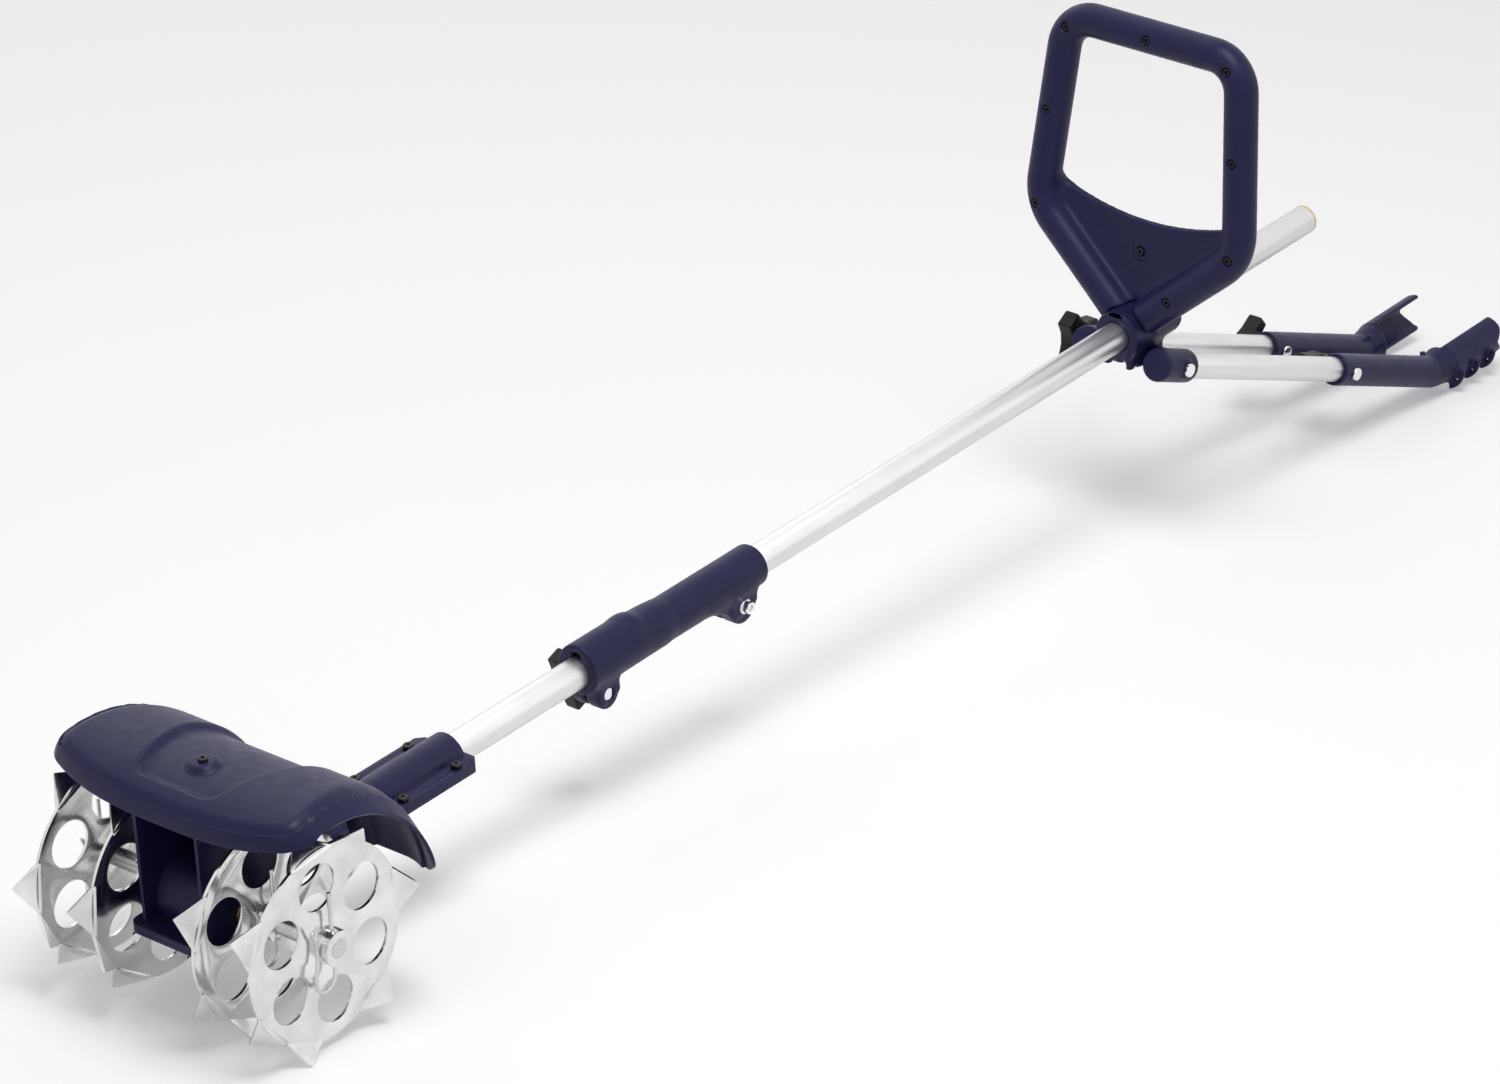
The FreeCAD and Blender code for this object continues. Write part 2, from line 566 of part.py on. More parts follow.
hood_radius = size("hood_radius")
hood_wall = size("hood_wall")
hood_half = size("hood_half_width")
panel_half = size("panel_half_width")
panel_radius = hood_radius - size("panel_drop")
wing_start = panel_half + size("panel_slope")
middle_front = size("hood_front_angle")
end_front = size("hood_front_end_angle")
FRONT_CURVE_SHARE = 3.0


def front_angle(y):
    """Angle of the hood's front edge, lowest in the middle."""
    share = abs(y) / hood_half
    return middle_front - (middle_front - end_front) * share ** FRONT_CURVE_SHARE


CORNER_SHARE = 0.3
stations = [(-hood_half, size("hood_end_radius")), (-size("hood_crease"), hood_radius - hood_wall),
            (-size("hood_crease") + 2 * hood_wall, hood_radius), (-wing_start, hood_radius),
            (-panel_half, panel_radius)]
stations += [(-y, radius) for y, radius in reversed(stations)]
parts = []
for (y, radius), (next_y, next_radius) in zip(stations, stations[1:]):
    wires = [hood_section(y, radius, front_angle(y), hood_wall, size("hood_rear_angle")),
             hood_section(next_y, next_radius, front_angle(next_y), hood_wall, size("hood_rear_angle"))]
    parts.append(Part.makeLoft(wires, True, True))
hood = parts[0].fuse(parts[1:])
notch_top = size("neck_root_half") + 2 * hood_wall
notch = box_between((back + hood_wall, -size("notch_half_width"), -far),
                    (far, size("notch_half_width"), notch_top))
hood = hood.cut(notch)
corner_reach = size("hood_corner")
for side in (-1, 1):
    low_edge = size("hood_end_radius") * math.sin(math.radians(size("hood_rear_angle"))) - over
    points = [Vector(0, side * (hood_half + over), low_edge - corner_reach),
              Vector(0, side * (hood_half - corner_reach), low_edge - corner_reach),
              Vector(0, side * (hood_half - corner_reach), low_edge),
              Vector(0, side * (hood_half + over), low_edge + corner_reach)]
    bulge = corner_reach * CORNER_SHARE
    middle = Vector(0, side * (hood_half - bulge), low_edge + bulge)
    curve = Part.Arc(points[2], middle, points[3]).toShape()
    wire = Part.Wire([Part.makeLine(points[0], points[1]), Part.makeLine(points[1], points[2]), curve,
                      Part.makeLine(points[3], points[0])])
    hood = hood.cut(Part.Face(wire).extrude(Vector(far, 0, 0)))
boss_top = panel_radius + size("hood_boss_rise")
boss = Part.makeCone(size("hood_boss") / 2 + hood_wall, size("hood_boss") / 2, 2 * hood_wall,
                     Vector(0, 0, boss_top - 2 * hood_wall), Vector(0, 0, 1))
hood = hood.fuse(boss.cut(round_y(panel_radius - hood_wall, -panel_half, panel_half)))
hood = hood.cut(round_z(screw_hole, 0, boss_top + over)).removeSplitter()
node("hood", solid(hood))
hood_screw = screw(size("hood_screw_head"), size("housing_head_thick"), size("housing_screw_shank"),
                   2 * hood_wall + wall)
node("hood_screw", solid(hood_screw), Placement(Vector(0, 0, boss_top), Rotation()))

# Tine axle and the four discs. Each disc is pressed from sheet with its hub welded on the outer side,
# and its teeth are bent in turn to either side.
hub_end = size("disc_outer_plane") + size("disc_thick") / 2 + size("hub_length")
pin_in_hub = size("disc_thick") / 2 + size("hub_length") / 2
tooth_slots = ((0, -1), (2, -1), (8, -1), (10, -1), (3, 1), (5, 1), (7, 1), (11, 1))
slot_pitch = math.radians(360 / 12)
rim = size("disc_rim")


def tine_disc():
    """Disc about Z with its hub on the +Z side and its bent teeth."""
    thick = size("disc_thick")
    disc = round_z(rim, -thick / 2, thick / 2)
    for index in range(6):
        angle = math.radians(size("hole_phase") + 60 * index)
        reach = size("disc_hole_circle")
        hole = round_z(size("disc_hole") / 2, -thick, thick, reach * math.cos(angle), reach * math.sin(angle))
        disc = disc.cut(hole)
    half_chord = size("tooth_chord") / 2
    base = math.sqrt(rim ** 2 - half_chord ** 2)
    points = [Vector(-thick, -half_chord, -thick / 2), Vector(-thick, half_chord, -thick / 2),
              Vector(0, half_chord, -thick / 2), Vector(size("tooth_height"), 0, -thick / 2),
              Vector(0, -half_chord, -thick / 2)]
    tooth = prism(points, Vector(0, 0, thick))
    teeth = []
    for slot, side in tooth_slots:
        angle = math.degrees(slot_pitch * slot) + size("tooth_phase")
        bent = Placement(Vector(base, 0, 0), Rotation(Vector(0, 1, 0), side * size("tooth_bend")))
        turn = Placement(Vector(), Rotation(Vector(0, 0, 1), angle))
        copy = tooth.copy()
        copy.Placement = turn.multiply(bent)
        teeth.append(copy)
    hub = round_z(size("hub_outer") / 2, thick / 2, thick / 2 + size("hub_length"))
    disc = disc.fuse(teeth + [hub])
    bore = size("axle_diameter") / 2 + size("hub_bore_gap")
    pin_hole = Part.makeCylinder(size("pin_wire") / 2 + size("pin_hole_gap"), 4 * bore,
                                 Vector(0, -2 * bore, pin_in_hub), Vector(0, 1, 0))
    return disc.cut([round_z(bore, -thick, thick + size("hub_length")), pin_hole]).removeSplitter()


disc_shape = tine_disc()
# On the right the disc's own Y is the shaft frame's Z; the left discs are turned end for end.
right_turn = Rotation(Vector(1, 0, 0), 90)
left_turn = Rotation(Vector(0, 0, 1), 180).multiply(right_turn)
for name, plane_at in (("inner", size("disc_inner_plane")), ("outer", size("disc_outer_plane"))):
    node(f"tine_{name}_right", solid(disc_shape.copy()), Placement(Vector(0, -plane_at, 0), right_turn))
    node(f"tine_{name}_left", solid(disc_shape.copy()), Placement(Vector(0, plane_at, 0), left_turn))

axle = round_y(size("axle_diameter") / 2, -hub_end - size("axle_overhang"), hub_end + size("axle_overhang"))
pin_stations = [side * (at + pin_in_hub) for at in (size("disc_inner_plane"), size("disc_outer_plane"))
                for side in (-1, 1)]
for station in pin_stations:
    axle = axle.cut(round_z(size("pin_wire") / 2 + size("pin_hole_gap"), -rim / 2, rim / 2, 0, station))
node("tine_axle", solid(axle))


def rounded_path(points, radii):
    """Open path of straight runs joined by arcs of the given radii."""
    edges = []
    last = points[0]
    for before, point, after, radius in zip(points, points[1:], points[2:], radii):
        into = (before - point).normalize()
        out = (after - point).normalize()
        half_turn = into.getAngle(out) / 2
        reach = radius / math.tan(half_turn)
        first = point + into * reach
        second = point + out * reach
        centre = point + (into + out).normalize() * (radius / math.sin(half_turn))
        middle = centre - (into + out).normalize() * radius
        edges.append(Part.makeLine(last, first))
        edges.append(Part.Arc(first, middle, second).toShape())
        last = second
    edges.append(Part.makeLine(last, points[-1]))
    return Part.Wire(edges)


def swept(path, radius, start, after):
    """Round bar along a path that sets out from start towards the next point."""
    sweep = Part.BRepOffsetAPI.MakePipeShell(path)
    sweep.add(Part.Wire(Part.makeCircle(radius, start, (after - start).normalize())))
    sweep.build()
    sweep.makeSolid()
    return sweep.shape()


BELLY_SHARE = 0.6


def hairpin():
    """Spring pin with one straight leg along Z, a ring below and a sprung leg in front."""
    wire = size("pin_wire") / 2
    ring = size("pin_ring")
    hub = size("hub_outer") / 2
    low = -hub - size("pin_below")
    front_x = -size("pin_stand_off")
    points = [
        Vector(0, 0, hub + size("pin_above")), Vector(0, 0, low), Vector(-2 * ring, 0, low),
        Vector(front_x, 0, -BELLY_SHARE * hub), Vector(front_x + wire, 0, BELLY_SHARE * hub),
        Vector(front_x - 2 * wire, 0, hub + 4 * wire),
    ]
    radii = (ring - wire / 4, ring - wire, ring, ring)
    return swept(rounded_path(points, radii), wire, points[0], points[1])


pin_shape = hairpin()
for name, station in zip(("inner_right", "inner_left", "outer_right", "outer_left"), pin_stations):
    node(f"hairpin_{name}", solid(pin_shape.copy()), Placement(Vector(0, station, 0), Rotation()))


def knob(radius, thick, hub_diameter, stem_length, bore):
    """Four-lobed knob about Z, its stem running down to zero from the lobes."""
    lobe = size("knob_lobe")
    base = stem_length
    grip = round_z(radius - lobe, base, base + thick)
    arms = []
    for index in range(4):
        angle = math.radians(45 + 90 * index)
        reach = radius - lobe
        arms.append(round_z(lobe, base, base + thick, reach * math.cos(angle), reach * math.sin(angle)))
    grip = grip.fuse(arms)
    top = [edge for edge in grip.Edges if abs(edge.CenterOfMass.z - base - thick) < gap / 2]
    grip = grip.makeFillet(lobe / 4, top)
    return grip.fuse(round_z(hub_diameter / 2, 0, base + thick)).cut(round_z(bore, 0, base + thick / 2))


# Coupler. A long moulded sleeve whose lower end is thicker and has a keyway, with a split lug under
# each end: the upper one is drawn up with a bolt, the lower one with a knob.
coupler_start = size("coupler_start")
coupler_end = coupler_start + size("coupler_length")
low_end = coupler_start + size("coupler_low_length")
sleeve = round_x(size("coupler_outer"), low_end, coupler_end)
thick_end = round_x(size("coupler_low_outer"), coupler_start, low_end)
raised = thick_end.translated(Vector(0, 0, size("coupler_top_lift")))
taper = Part.makeCone(size("coupler_low_outer") / 2, size("coupler_outer") / 2, size("coupler_taper"),
                      Vector(low_end, 0, 0), Vector(1, 0, 0))
lift = size("coupler_top_lift")
taper_lift = Part.makeCone(size("coupler_low_outer") / 2, size("coupler_outer") / 2 - lift - gap,
                           size("coupler_taper"), Vector(low_end, 0, lift), Vector(1, 0, 0))
lug_half = size("lug_half_width")
low_lug_x = coupler_start + size("low_lug_from_end")
up_lug_x = coupler_end - size("up_lug_from_end")
low_lug_z = -size("low_lug_drop")
up_lug_z = -size("up_lug_drop")


def lug(x, z, radius, run):
    """Rounded lug under the sleeve, with a root that runs back along it."""
    disc = round_y(radius, -lug_half, lug_half, x, z)
    points = [Vector(x - run, -lug_half, 0), Vector(x + radius, -lug_half, 0),
              Vector(x + radius, -lug_half, z), Vector(x, -lug_half, z - radius)]
    return disc.fuse(prism(points, Vector(0, 2 * lug_half, 0)).cut(
        box_between((x, -2 * lug_half, z - 2 * radius), (x + 2 * radius, 2 * lug_half, z))))


low_lug = lug(low_lug_x, low_lug_z, size("low_lug_radius"), size("low_lug_radius") + 2 * wall)
up_lug = lug(up_lug_x, up_lug_z, size("up_lug_radius"), 3 * size("up_lug_radius"))
coupler = sleeve.fuse([thick_end, raised, taper, taper_lift, low_lug, up_lug])
bore = round_x(tube_seat, coupler_start - over, coupler_end + over)
slit_depth = size("low_lug_drop") + 2 * size("low_lug_radius")
slits = [box_between((coupler_start - over, -size("lug_slit") / 2, -slit_depth),
                     (low_lug_x + size("low_lug_radius") + wall, size("lug_slit") / 2, 0)),
         box_between((up_lug_x - size("up_lug_radius") - wall, -size("lug_slit") / 2, -slit_depth),
                     (coupler_end + over, size("lug_slit") / 2, 0))]
key_half = size("keyway_width") / 2
keyway = box_between((coupler_start - over, -key_half, 0),
                     (coupler_start + size("keyway_length"), key_half,
                      size("tube_outer") / 2 + size("keyway_rise")))
bolt_hole = size("lug_bolt") / 2 + size("bolt_gap") / 2
lug_holes = [round_y(bolt_hole, -2 * lug_half, 2 * lug_half, x, z)
             for x, z in ((low_lug_x, low_lug_z), (up_lug_x, up_lug_z))]
head_room = round_y(size("bolt_head") / 2 + size("bolt_gap"), -lug_half - over, -lug_half + wall, low_lug_x,
                    low_lug_z)
coupler = coupler.cut([bore, keyway, head_room] + slits + lug_holes).removeSplitter()
node("coupler_body", solid(coupler))

washer = size("washer_thick")
NUT_SHARE = 0.8
nut_thick = size("lug_bolt") * NUT_SHARE


def bolt_y(shank_diameter, head_diameter, head_thick, length, key):
    """Bolt about +Y whose head ends at zero and whose shank starts there."""
    head = round_y(head_diameter / 2, -head_thick, 0)
    shank = round_y(shank_diameter / 2, 0, length)
    if key:
        socket = hexagon(key, head_thick / 2, 0)
        socket.Placement = Placement(Vector(0, -head_thick, 0), Rotation(Vector(0, 0, 1), 90))
        head = head.cut(socket)
    return head.fuse(shank)


upper_bolt = bolt_y(size("lug_bolt"), size("bolt_head"), size("bolt_head_thick"),
                    2 * lug_half + 2 * washer + nut_thick + gap, size("hex_key"))
near_washer = round_y(size("washer_outer") / 2, 0, washer).cut(round_y(bolt_hole, -over, washer + over))
upper_bolt_at = Vector(up_lug_x, -lug_half - washer, up_lug_z)
node("coupler_bolt", solid(upper_bolt), Placement(upper_bolt_at, Rotation()))
node("coupler_washers", solid(Part.makeCompound([
    near_washer.translated(upper_bolt_at),
    near_washer.translated(Vector(up_lug_x, lug_half, up_lug_z))])))
nut = hexagon(size("bolt_head"), nut_thick, 0)
nut.Placement = Placement(Vector(), Rotation(Vector(0, 0, 1), 90))
nut = nut.cut(round_y(size("lug_bolt") / 2, -over, nut_thick + over))
node("coupler_nut", solid(nut), Placement(Vector(up_lug_x, lug_half + washer, up_lug_z), Rotation()))
stud_length = 2 * lug_half - wall + size("knob_stem") + size("knob_thick") / 2
clamp_stud = bolt_y(size("lug_bolt"), size("bolt_head"), wall - gap, stud_length - gap, 0)
stud_at = Vector(low_lug_x, -lug_half + wall, low_lug_z)
node("coupler_stud", solid(clamp_stud), Placement(stud_at, Rotation()))
to_far_side = Rotation(Vector(1, 0, 0), -90)
small_knob = knob(size("knob_radius"), size("knob_thick"), size("knob_hub"), size("knob_stem"),
                  size("lug_bolt") / 2 + size("running_clearance"))
node("coupler_knob", solid(small_knob),
     Placement(Vector(low_lug_x, lug_half + gap, low_lug_z), to_far_side))

# Loop handle. The loop is drawn flat, X across and Y up, and then leans back with the grip. Its web
# is set back from the loop's front.
lean = math.radians(size("handle_lean"))
stretch = 1 / math.cos(lean)
loop_radius = size("loop_radius")


top_up = size("loop_top") * stretch
right_points = [Vector(size("loop_top_half"), top_up, 0), Vector(size("loop_low_half"), size("loop_low"), 0),
                Vector(size("loop_foot_half"), size("loop_foot"), 0)]
loop_points = [Vector(-point.x, point.y, 0) for point in reversed(right_points)] + right_points
low_corner = size("loop_low_corner")
top_corner = size("loop_top_corner")
corners = (low_corner, top_corner, top_corner, low_corner)
loop_path = rounded_path(loop_points, corners)
loop = swept(loop_path, loop_radius, loop_points[0], loop_points[1])

web_front = size("web_set_back")
low_half = size("loop_low_half")
web_edge = [Vector(-low_half, size("web_top_end"), web_front), Vector(0, size("web_top_middle"), web_front),
            Vector(low_half, size("web_top_end"), web_front)]
low_left = Vector(-low_half, size("loop_low"), web_front)
low_right = Vector(low_half, size("loop_low"), web_front)
foot_left = Vector(-size("loop_foot_half"), size("loop_foot"), web_front)
foot_right = Vector(size("loop_foot_half"), size("loop_foot"), web_front)
web_wire = Part.Wire([
    Part.makeLine(foot_left, low_left), Part.makeLine(low_left, web_edge[0]),
    Part.Arc(*web_edge).toShape(), Part.makeLine(web_edge[2], low_right),
    Part.makeLine(low_right, foot_right), Part.makeLine(foot_right, foot_left)])
web = Part.Face(web_wire).extrude(Vector(0, 0, size("web_thick")))
web_screw_up = size("web_screw_height") * stretch
web_boss = Part.makeCylinder(size("web_boss") / 2, size("web_boss_rise"),
                             Vector(0, web_screw_up, web_front - size("web_boss_rise")))
grip = loop.fuse([web, web_boss])

# Places of the loop's screws, as shares of the way along its top, side and foot runs.
TOP_CORNER_SHARE = 0.93
CORNER_DROP_SHARE = 0.97
SIDE_SHARE = 0.5
LOW_CORNER_SHARE = 0.97
FOOT_SHARE = 0.32
top_half = size("loop_top_half")
loop_low = size("loop_low")
right_spots = [
    (top_half * TOP_CORNER_SHARE, top_up * CORNER_DROP_SHARE),
    (top_half + (low_half - top_half) * SIDE_SHARE, top_up + (loop_low - top_up) * SIDE_SHARE),
    (low_half * LOW_CORNER_SHARE, loop_low),
]
screw_spots = [(side * across, up) for side in (-1, 1) for across, up in right_spots]
screw_spots.append((0, top_up))
foot_run = low_half - size("loop_foot_half")
screw_spots.append((-size("loop_foot_half") - FOOT_SHARE * foot_run,
                    size("loop_foot") + FOOT_SHARE * (loop_low - size("loop_foot"))))
head_deep = size("handle_head_deep")
head_seat = -loop_radius + head_deep + size("housing_head_thick")
shank_end = loop_radius - wall
head_hole = size("handle_screw_head") / 2 + size("seat_clearance")
shank_hole = size("handle_screw") / 2 + size("seat_clearance")
holes = []
for across, up in screw_spots:
    holes.append(round_z(head_hole, -loop_radius - over, head_seat, across, up))
    holes.append(round_z(shank_hole, head_seat, shank_end, across, up))
web_seat = web_front - size("web_boss_rise") + size("housing_head_thick")
holes.append(round_z(head_hole, -loop_radius, web_seat, 0, web_screw_up))
holes.append(round_z(shank_hole, web_seat, web_front + size("web_thick") - wall / 2, 0, web_screw_up))
grip = grip.cut(holes)

lean_turn = Rotation(Vector(0, 1, 0), Vector(math.sin(lean), 0, math.cos(lean)),
                     Vector(math.cos(lean), 0, -math.sin(lean)), "XYZ")
loop_place = Placement(Vector(size("handle_front") + loop_radius * stretch, 0, 0), lean_turn)
grip.Placement = loop_place
reach = 4 * low_half
parting = box_between((-reach, -reach, size("shell_parting")), (reach, reach, reach))
parting.Placement = loop_place

pivot_x = size("pivot_back")
pivot_z = -size("pivot_drop")
collar_start = size("collar_front")
collar_end = collar_start + size("collar_length")
collar = round_x(size("collar_outer"), collar_start, collar_end)
ear_end = collar_start + size("ear_length")
ear_points = [(collar_start, 0), (ear_end, 0), (ear_end, -size("ear_drop") + size("ear_notch")),
              (ear_end - size("ear_notch"), -size("ear_drop")),
              (collar_start + 2 * size("ear_notch"), -size("ear_drop")),
              (collar_start + size("ear_notch"), -size("ear_drop") + size("ear_notch")),
              (collar_start, -size("ear_drop"))]
ear = prism([Vector(x, size("ear_inner"), z) for x, z in ear_points],
            Vector(0, size("ear_outer") - size("ear_inner"), 0))
tube_run = size("tube_outer") + 2 * size("running_clearance")
slit = box_between((collar_start - over, -size("collar_slit") / 2, -size("ear_drop")),
                   (collar_end + over, size("collar_slit") / 2, 0))
pivot_run = size("pivot_bolt_diameter") / 2 + size("running_clearance")
collar = collar.fuse(mirrored_y(ear))
tube_way = round_x(tube_run, collar_start - over, collar_end + over)
pivot_way = round_y(pivot_run, -4 * half, 4 * half, pivot_x, pivot_z)
room_round_collar = round_x(size("collar_outer"), collar_start - over, collar_end + over)
back_part = grip.common(parting).fuse(collar).cut([tube_way, slit, pivot_way]).removeSplitter()
front_part = grip.cut([parting, room_round_collar]).removeSplitter()
node("handle_back_shell", solid(back_part))
node("handle_front_shell", solid(front_part))
grip_screw = screw(size("handle_screw_head"), size("housing_head_thick"), size("handle_screw"),
                   shank_end - head_seat - gap)
facing = Rotation(Vector(1, 0, 0), 180)
spots = [Placement(Vector(across, up, head_seat), facing) for across, up in screw_spots]
short_screw = screw(size("handle_screw_head"), size("housing_head_thick"), size("handle_screw"),
                    web_front + size("web_thick") - wall / 2 - web_seat - gap)
web_screw = screws_at(short_screw, [Placement(Vector(0, web_screw_up, web_seat), facing)])
grip_screws = screws_at(grip_screw, spots)
node("handle_screws", solid(Part.makeCompound(grip_screws.Solids + web_screw.Solids)), loop_place)

# Pivot bolt through both arms and the handle's ears, drawn up by the large knob.
gauge_half = size("arm_half_gauge")
barrel = size("barrel_outer") / 2
outer_face = gauge_half + barrel
stem = size("knob_stem")
pivot_bolt = bolt_y(size("pivot_bolt_diameter"), size("pivot_head"), size("pivot_head_thick"),
                    2 * outer_face + gap + stem + size("knob_thick") / 2 - gap, 0)
node("pivot_bolt", solid(pivot_bolt), Placement(Vector(pivot_x, -outer_face, pivot_z), Rotation()))
large_knob = knob(size("knob_radius"), size("knob_thick"), size("knob_hub"), stem,
                  size("pivot_bolt_diameter") / 2 + size("running_clearance"))
node("pivot_knob", solid(large_knob), Placement(Vector(pivot_x, outer_face + gap, pivot_z), to_far_side))

# Drill arms. Each is drawn along its own X from the pivot: a moulded barrel, a tube, and a saddle that
# slides on the tube where its bolt runs in a slot.
arm_tube = size("arm_tube_outer") / 2
saddle_start = size("saddle_start")
bolt_x = saddle_start + size("saddle_bolt_in")
travel = size("saddle_travel")
arm_end = saddle_start + size("arm_in_saddle")
arm_turn = Rotation(Vector(0, 1, 0), size("arm_angle"))
socket_shape = Part.makeCylinder(barrel, size("barrel_front") + size("barrel_back"),
                                 Vector(-size("barrel_front"), 0, 0), Vector(1, 0, 0))
boss_length = gauge_half - size("ear_outer") - gap
socket_shape = socket_shape.fuse([round_y(size("barrel_boss") / 2, 0, boss_length),
                                  round_y(size("pivot_head") / 2 + washer, -barrel, 0)])
socket_shape = socket_shape.cut([
    round_x(2 * (arm_tube + size("seat_clearance")), size("arm_tube_start"), size("barrel_back") + over),
    round_y(pivot_run, -2 * barrel, 2 * gauge_half)])
tube_shape = round_x(2 * arm_tube, size("arm_tube_start"), arm_end)
tube_shape = tube_shape.cut(round_x(2 * (arm_tube - size("arm_tube_wall")), size("arm_tube_start") - over,
                                    arm_end + over))
slot_half = size("saddle_bolt") / 2 + size("bolt_gap") / 2
slot = box_between((bolt_x, -2 * arm_tube, -slot_half), (bolt_x + travel, 2 * arm_tube, slot_half))
slot = slot.fuse([round_y(slot_half, -2 * arm_tube, 2 * arm_tube, bolt_x),
                  round_y(slot_half, -2 * arm_tube, 2 * arm_tube, bolt_x + travel)])
tube_shape = tube_shape.cut(slot)

saddle_radius = size("saddle_outer") / 2
elbow = size("saddle_elbow")
pad_radius = size("pad_radius")
pad_inner = pad_radius - size("pad_wall")
pad_length = size("pad_length")
grip_depth = arm_end + travel + gap
sleeve = round_x(2 * saddle_radius, saddle_start, elbow)
elbow_ball = Part.makeSphere(saddle_radius, Vector(elbow, 0, 0))
pad_place = Placement(Vector(elbow, 0, 0), Rotation(Vector(0, 1, 0), -size("arm_angle")))
flare = Part.makeCone(saddle_radius, pad_radius, pad_radius, Vector(), Vector(1, 0, 0))
shell = Part.makeCylinder(pad_radius, pad_length - pad_radius, Vector(pad_radius, 0, 0), Vector(1, 0, 0))
lug_plates = []
for index in range(3):
    start = pad_radius + size("lug_pitch") * index
    plate = Part.makeCylinder(pad_radius + size("lug_rise"), size("lug_plate"), Vector(start, 0, 0),
                              Vector(1, 0, 0))
    keep = box_between((start, -2 * pad_radius, -2 * pad_radius), (start + pad_radius, -pad_inner / 2, 0))
    lug_plates.append(plate.common(keep))
pad = shell.fuse([flare] + lug_plates)
hollow = Part.makeCylinder(pad_inner, pad_length, Vector(pad_radius, 0, 0), Vector(1, 0, 0))
open_side = box_between((pad_radius, 0, -2 * pad_radius),
                        (pad_length + over, 2 * pad_radius, 2 * pad_radius))
tail = size("tail_depth")
tail_points = [Vector(pad_length + over, 0, tail + pad_inner / 2), Vector(pad_length - tail, 0, 0),
               Vector(pad_length + over, 0, -tail - pad_inner / 2)]
tail_cut = prism(tail_points, Vector(0, -2 * pad_radius, 0))
pad = pad.cut([hollow, open_side, tail_cut])
pad.Placement = pad_place
button = round_z(size("button_radius"), 0, saddle_radius + size("button_rise"), elbow)
saddle_shape = sleeve.fuse([elbow_ball, pad, button])
saddle_bolt_way = round_y(slot_half, -2 * saddle_radius, 2 * saddle_radius, bolt_x)
saddle_shape = saddle_shape.cut([
    round_x(2 * (arm_tube + size("running_clearance")), saddle_start - over, grip_depth), saddle_bolt_way])
bolt_length = 2 * saddle_radius + gap + stem + size("knob_thick") / 2 - gap
saddle_bolt = bolt_y(size("saddle_bolt"), size("saddle_bolt_head"), size("saddle_head_thick"),
                     bolt_length, 0)
saddle_knob = knob(size("saddle_knob_radius"), size("knob_thick"), size("knob_hub"), stem,
                   size("saddle_bolt") / 2 + size("running_clearance"))
for side, sign in (("right", -1), ("left", 1)):
    arm_place = Placement(Vector(pivot_x, sign * gauge_half, pivot_z), arm_turn)
    flip = Vector(0, 1, 0)
    pieces = {"arm_socket": socket_shape, "arm_tube": tube_shape, "saddle": saddle_shape}
    for name, shape in pieces.items():
        handed = shape if sign < 0 else shape.mirror(Vector(), flip)
        node(f"{name}_{side}", solid(handed.copy()), arm_place)
    bolt_place = arm_place.multiply(Placement(Vector(bolt_x, -saddle_radius, 0), Rotation()))
    node(f"saddle_bolt_{side}", solid(saddle_bolt.copy()), bolt_place)
    knob_place = arm_place.multiply(Placement(Vector(bolt_x, saddle_radius + gap, 0), to_far_side))
    node(f"saddle_knob_{side}", solid(saddle_knob.copy()), knob_place)

doc.recompute()

# The tool lies on the tips of its tines and on its saddles. The shaft frame is turned about Y until
# both touch one level, and the whole is then lifted and centred over its footprint.


def corner_points(labels):
    """Mesh points of some pieces in the shaft frame."""
    points = []
    for label in labels:
        obj, local = NODES[label]
        shape = obj.Shape.copy()
        shape.Placement = local
        points += shape.tessellate(size("face_gap"))[0]
    return points


def lowest(points, angle):
    """Lowest height of the points with the frame turned by an angle."""
    sine = math.sin(angle)
    cosine = math.cos(angle)
    return min(point.x * sine + point.z * cosine for point in points)


tine_points = corner_points([label for label in NODES if label.startswith("tine_") and label != "tine_axle"])
saddle_points = corner_points(["saddle_left", "saddle_right"])
HALVINGS = 40
lower, upper = 0.0, math.radians(size("arm_angle"))
for step in range(HALVINGS):
    middle = (lower + upper) / 2
    if lowest(saddle_points, middle) < lowest(tine_points, middle):
        lower = middle
    else:
        upper = middle
lie = Rotation(Vector(0, 1, 0), -math.degrees(middle))
bounds = FreeCAD.BoundBox()
for label, (obj, local) in NODES.items():
    shape = obj.Shape.copy()
    shape.Placement = Placement(Vector(), lie).multiply(local)
    bounds.add(shape.optimalBoundingBox(False))
centre = (bounds.XMin + bounds.XMax) / 2
rest = Placement(Vector(-centre, 0, -bounds.ZMin), lie)
for label, (obj, local) in NODES.items():
    obj.Placement = rest.multiply(local)
doc.recompute()

# Nothing is written unless every object is sound.
problems = [obj.Label for obj in doc.Objects if "Invalid" in obj.State or "Error" in obj.State]
for label, (obj, local) in NODES.items():
    if obj.Shape.isNull() or not obj.Shape.isValid() or not obj.Shape.Solids:
        problems.append(label)
if problems:
    raise RuntimeError("unsound: " + ", ".join(problems))
os.makedirs("parts", exist_ok=True)
for label, (obj, local) in NODES.items():
    obj.Shape.exportStep(os.path.join("parts", label + ".step"))
print("nodes", len(NODES), "lie angle", round(math.degrees(middle), 4))
print("shaft frame origin", [round(value, 3) for value in rest.Base])
print("height", round(bounds.ZMax - bounds.ZMin, 2))
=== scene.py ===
"""Drill-powered cultivator: finishes, detailed mouldings, screws, light and camera round the fixed frame."""

import json
import logging
import math
from collections.abc import Callable, Sequence
from dataclasses import dataclass, field
from enum import Enum

import bmesh
import bpy
import numpy as np
from mathutils import Matrix, Vector

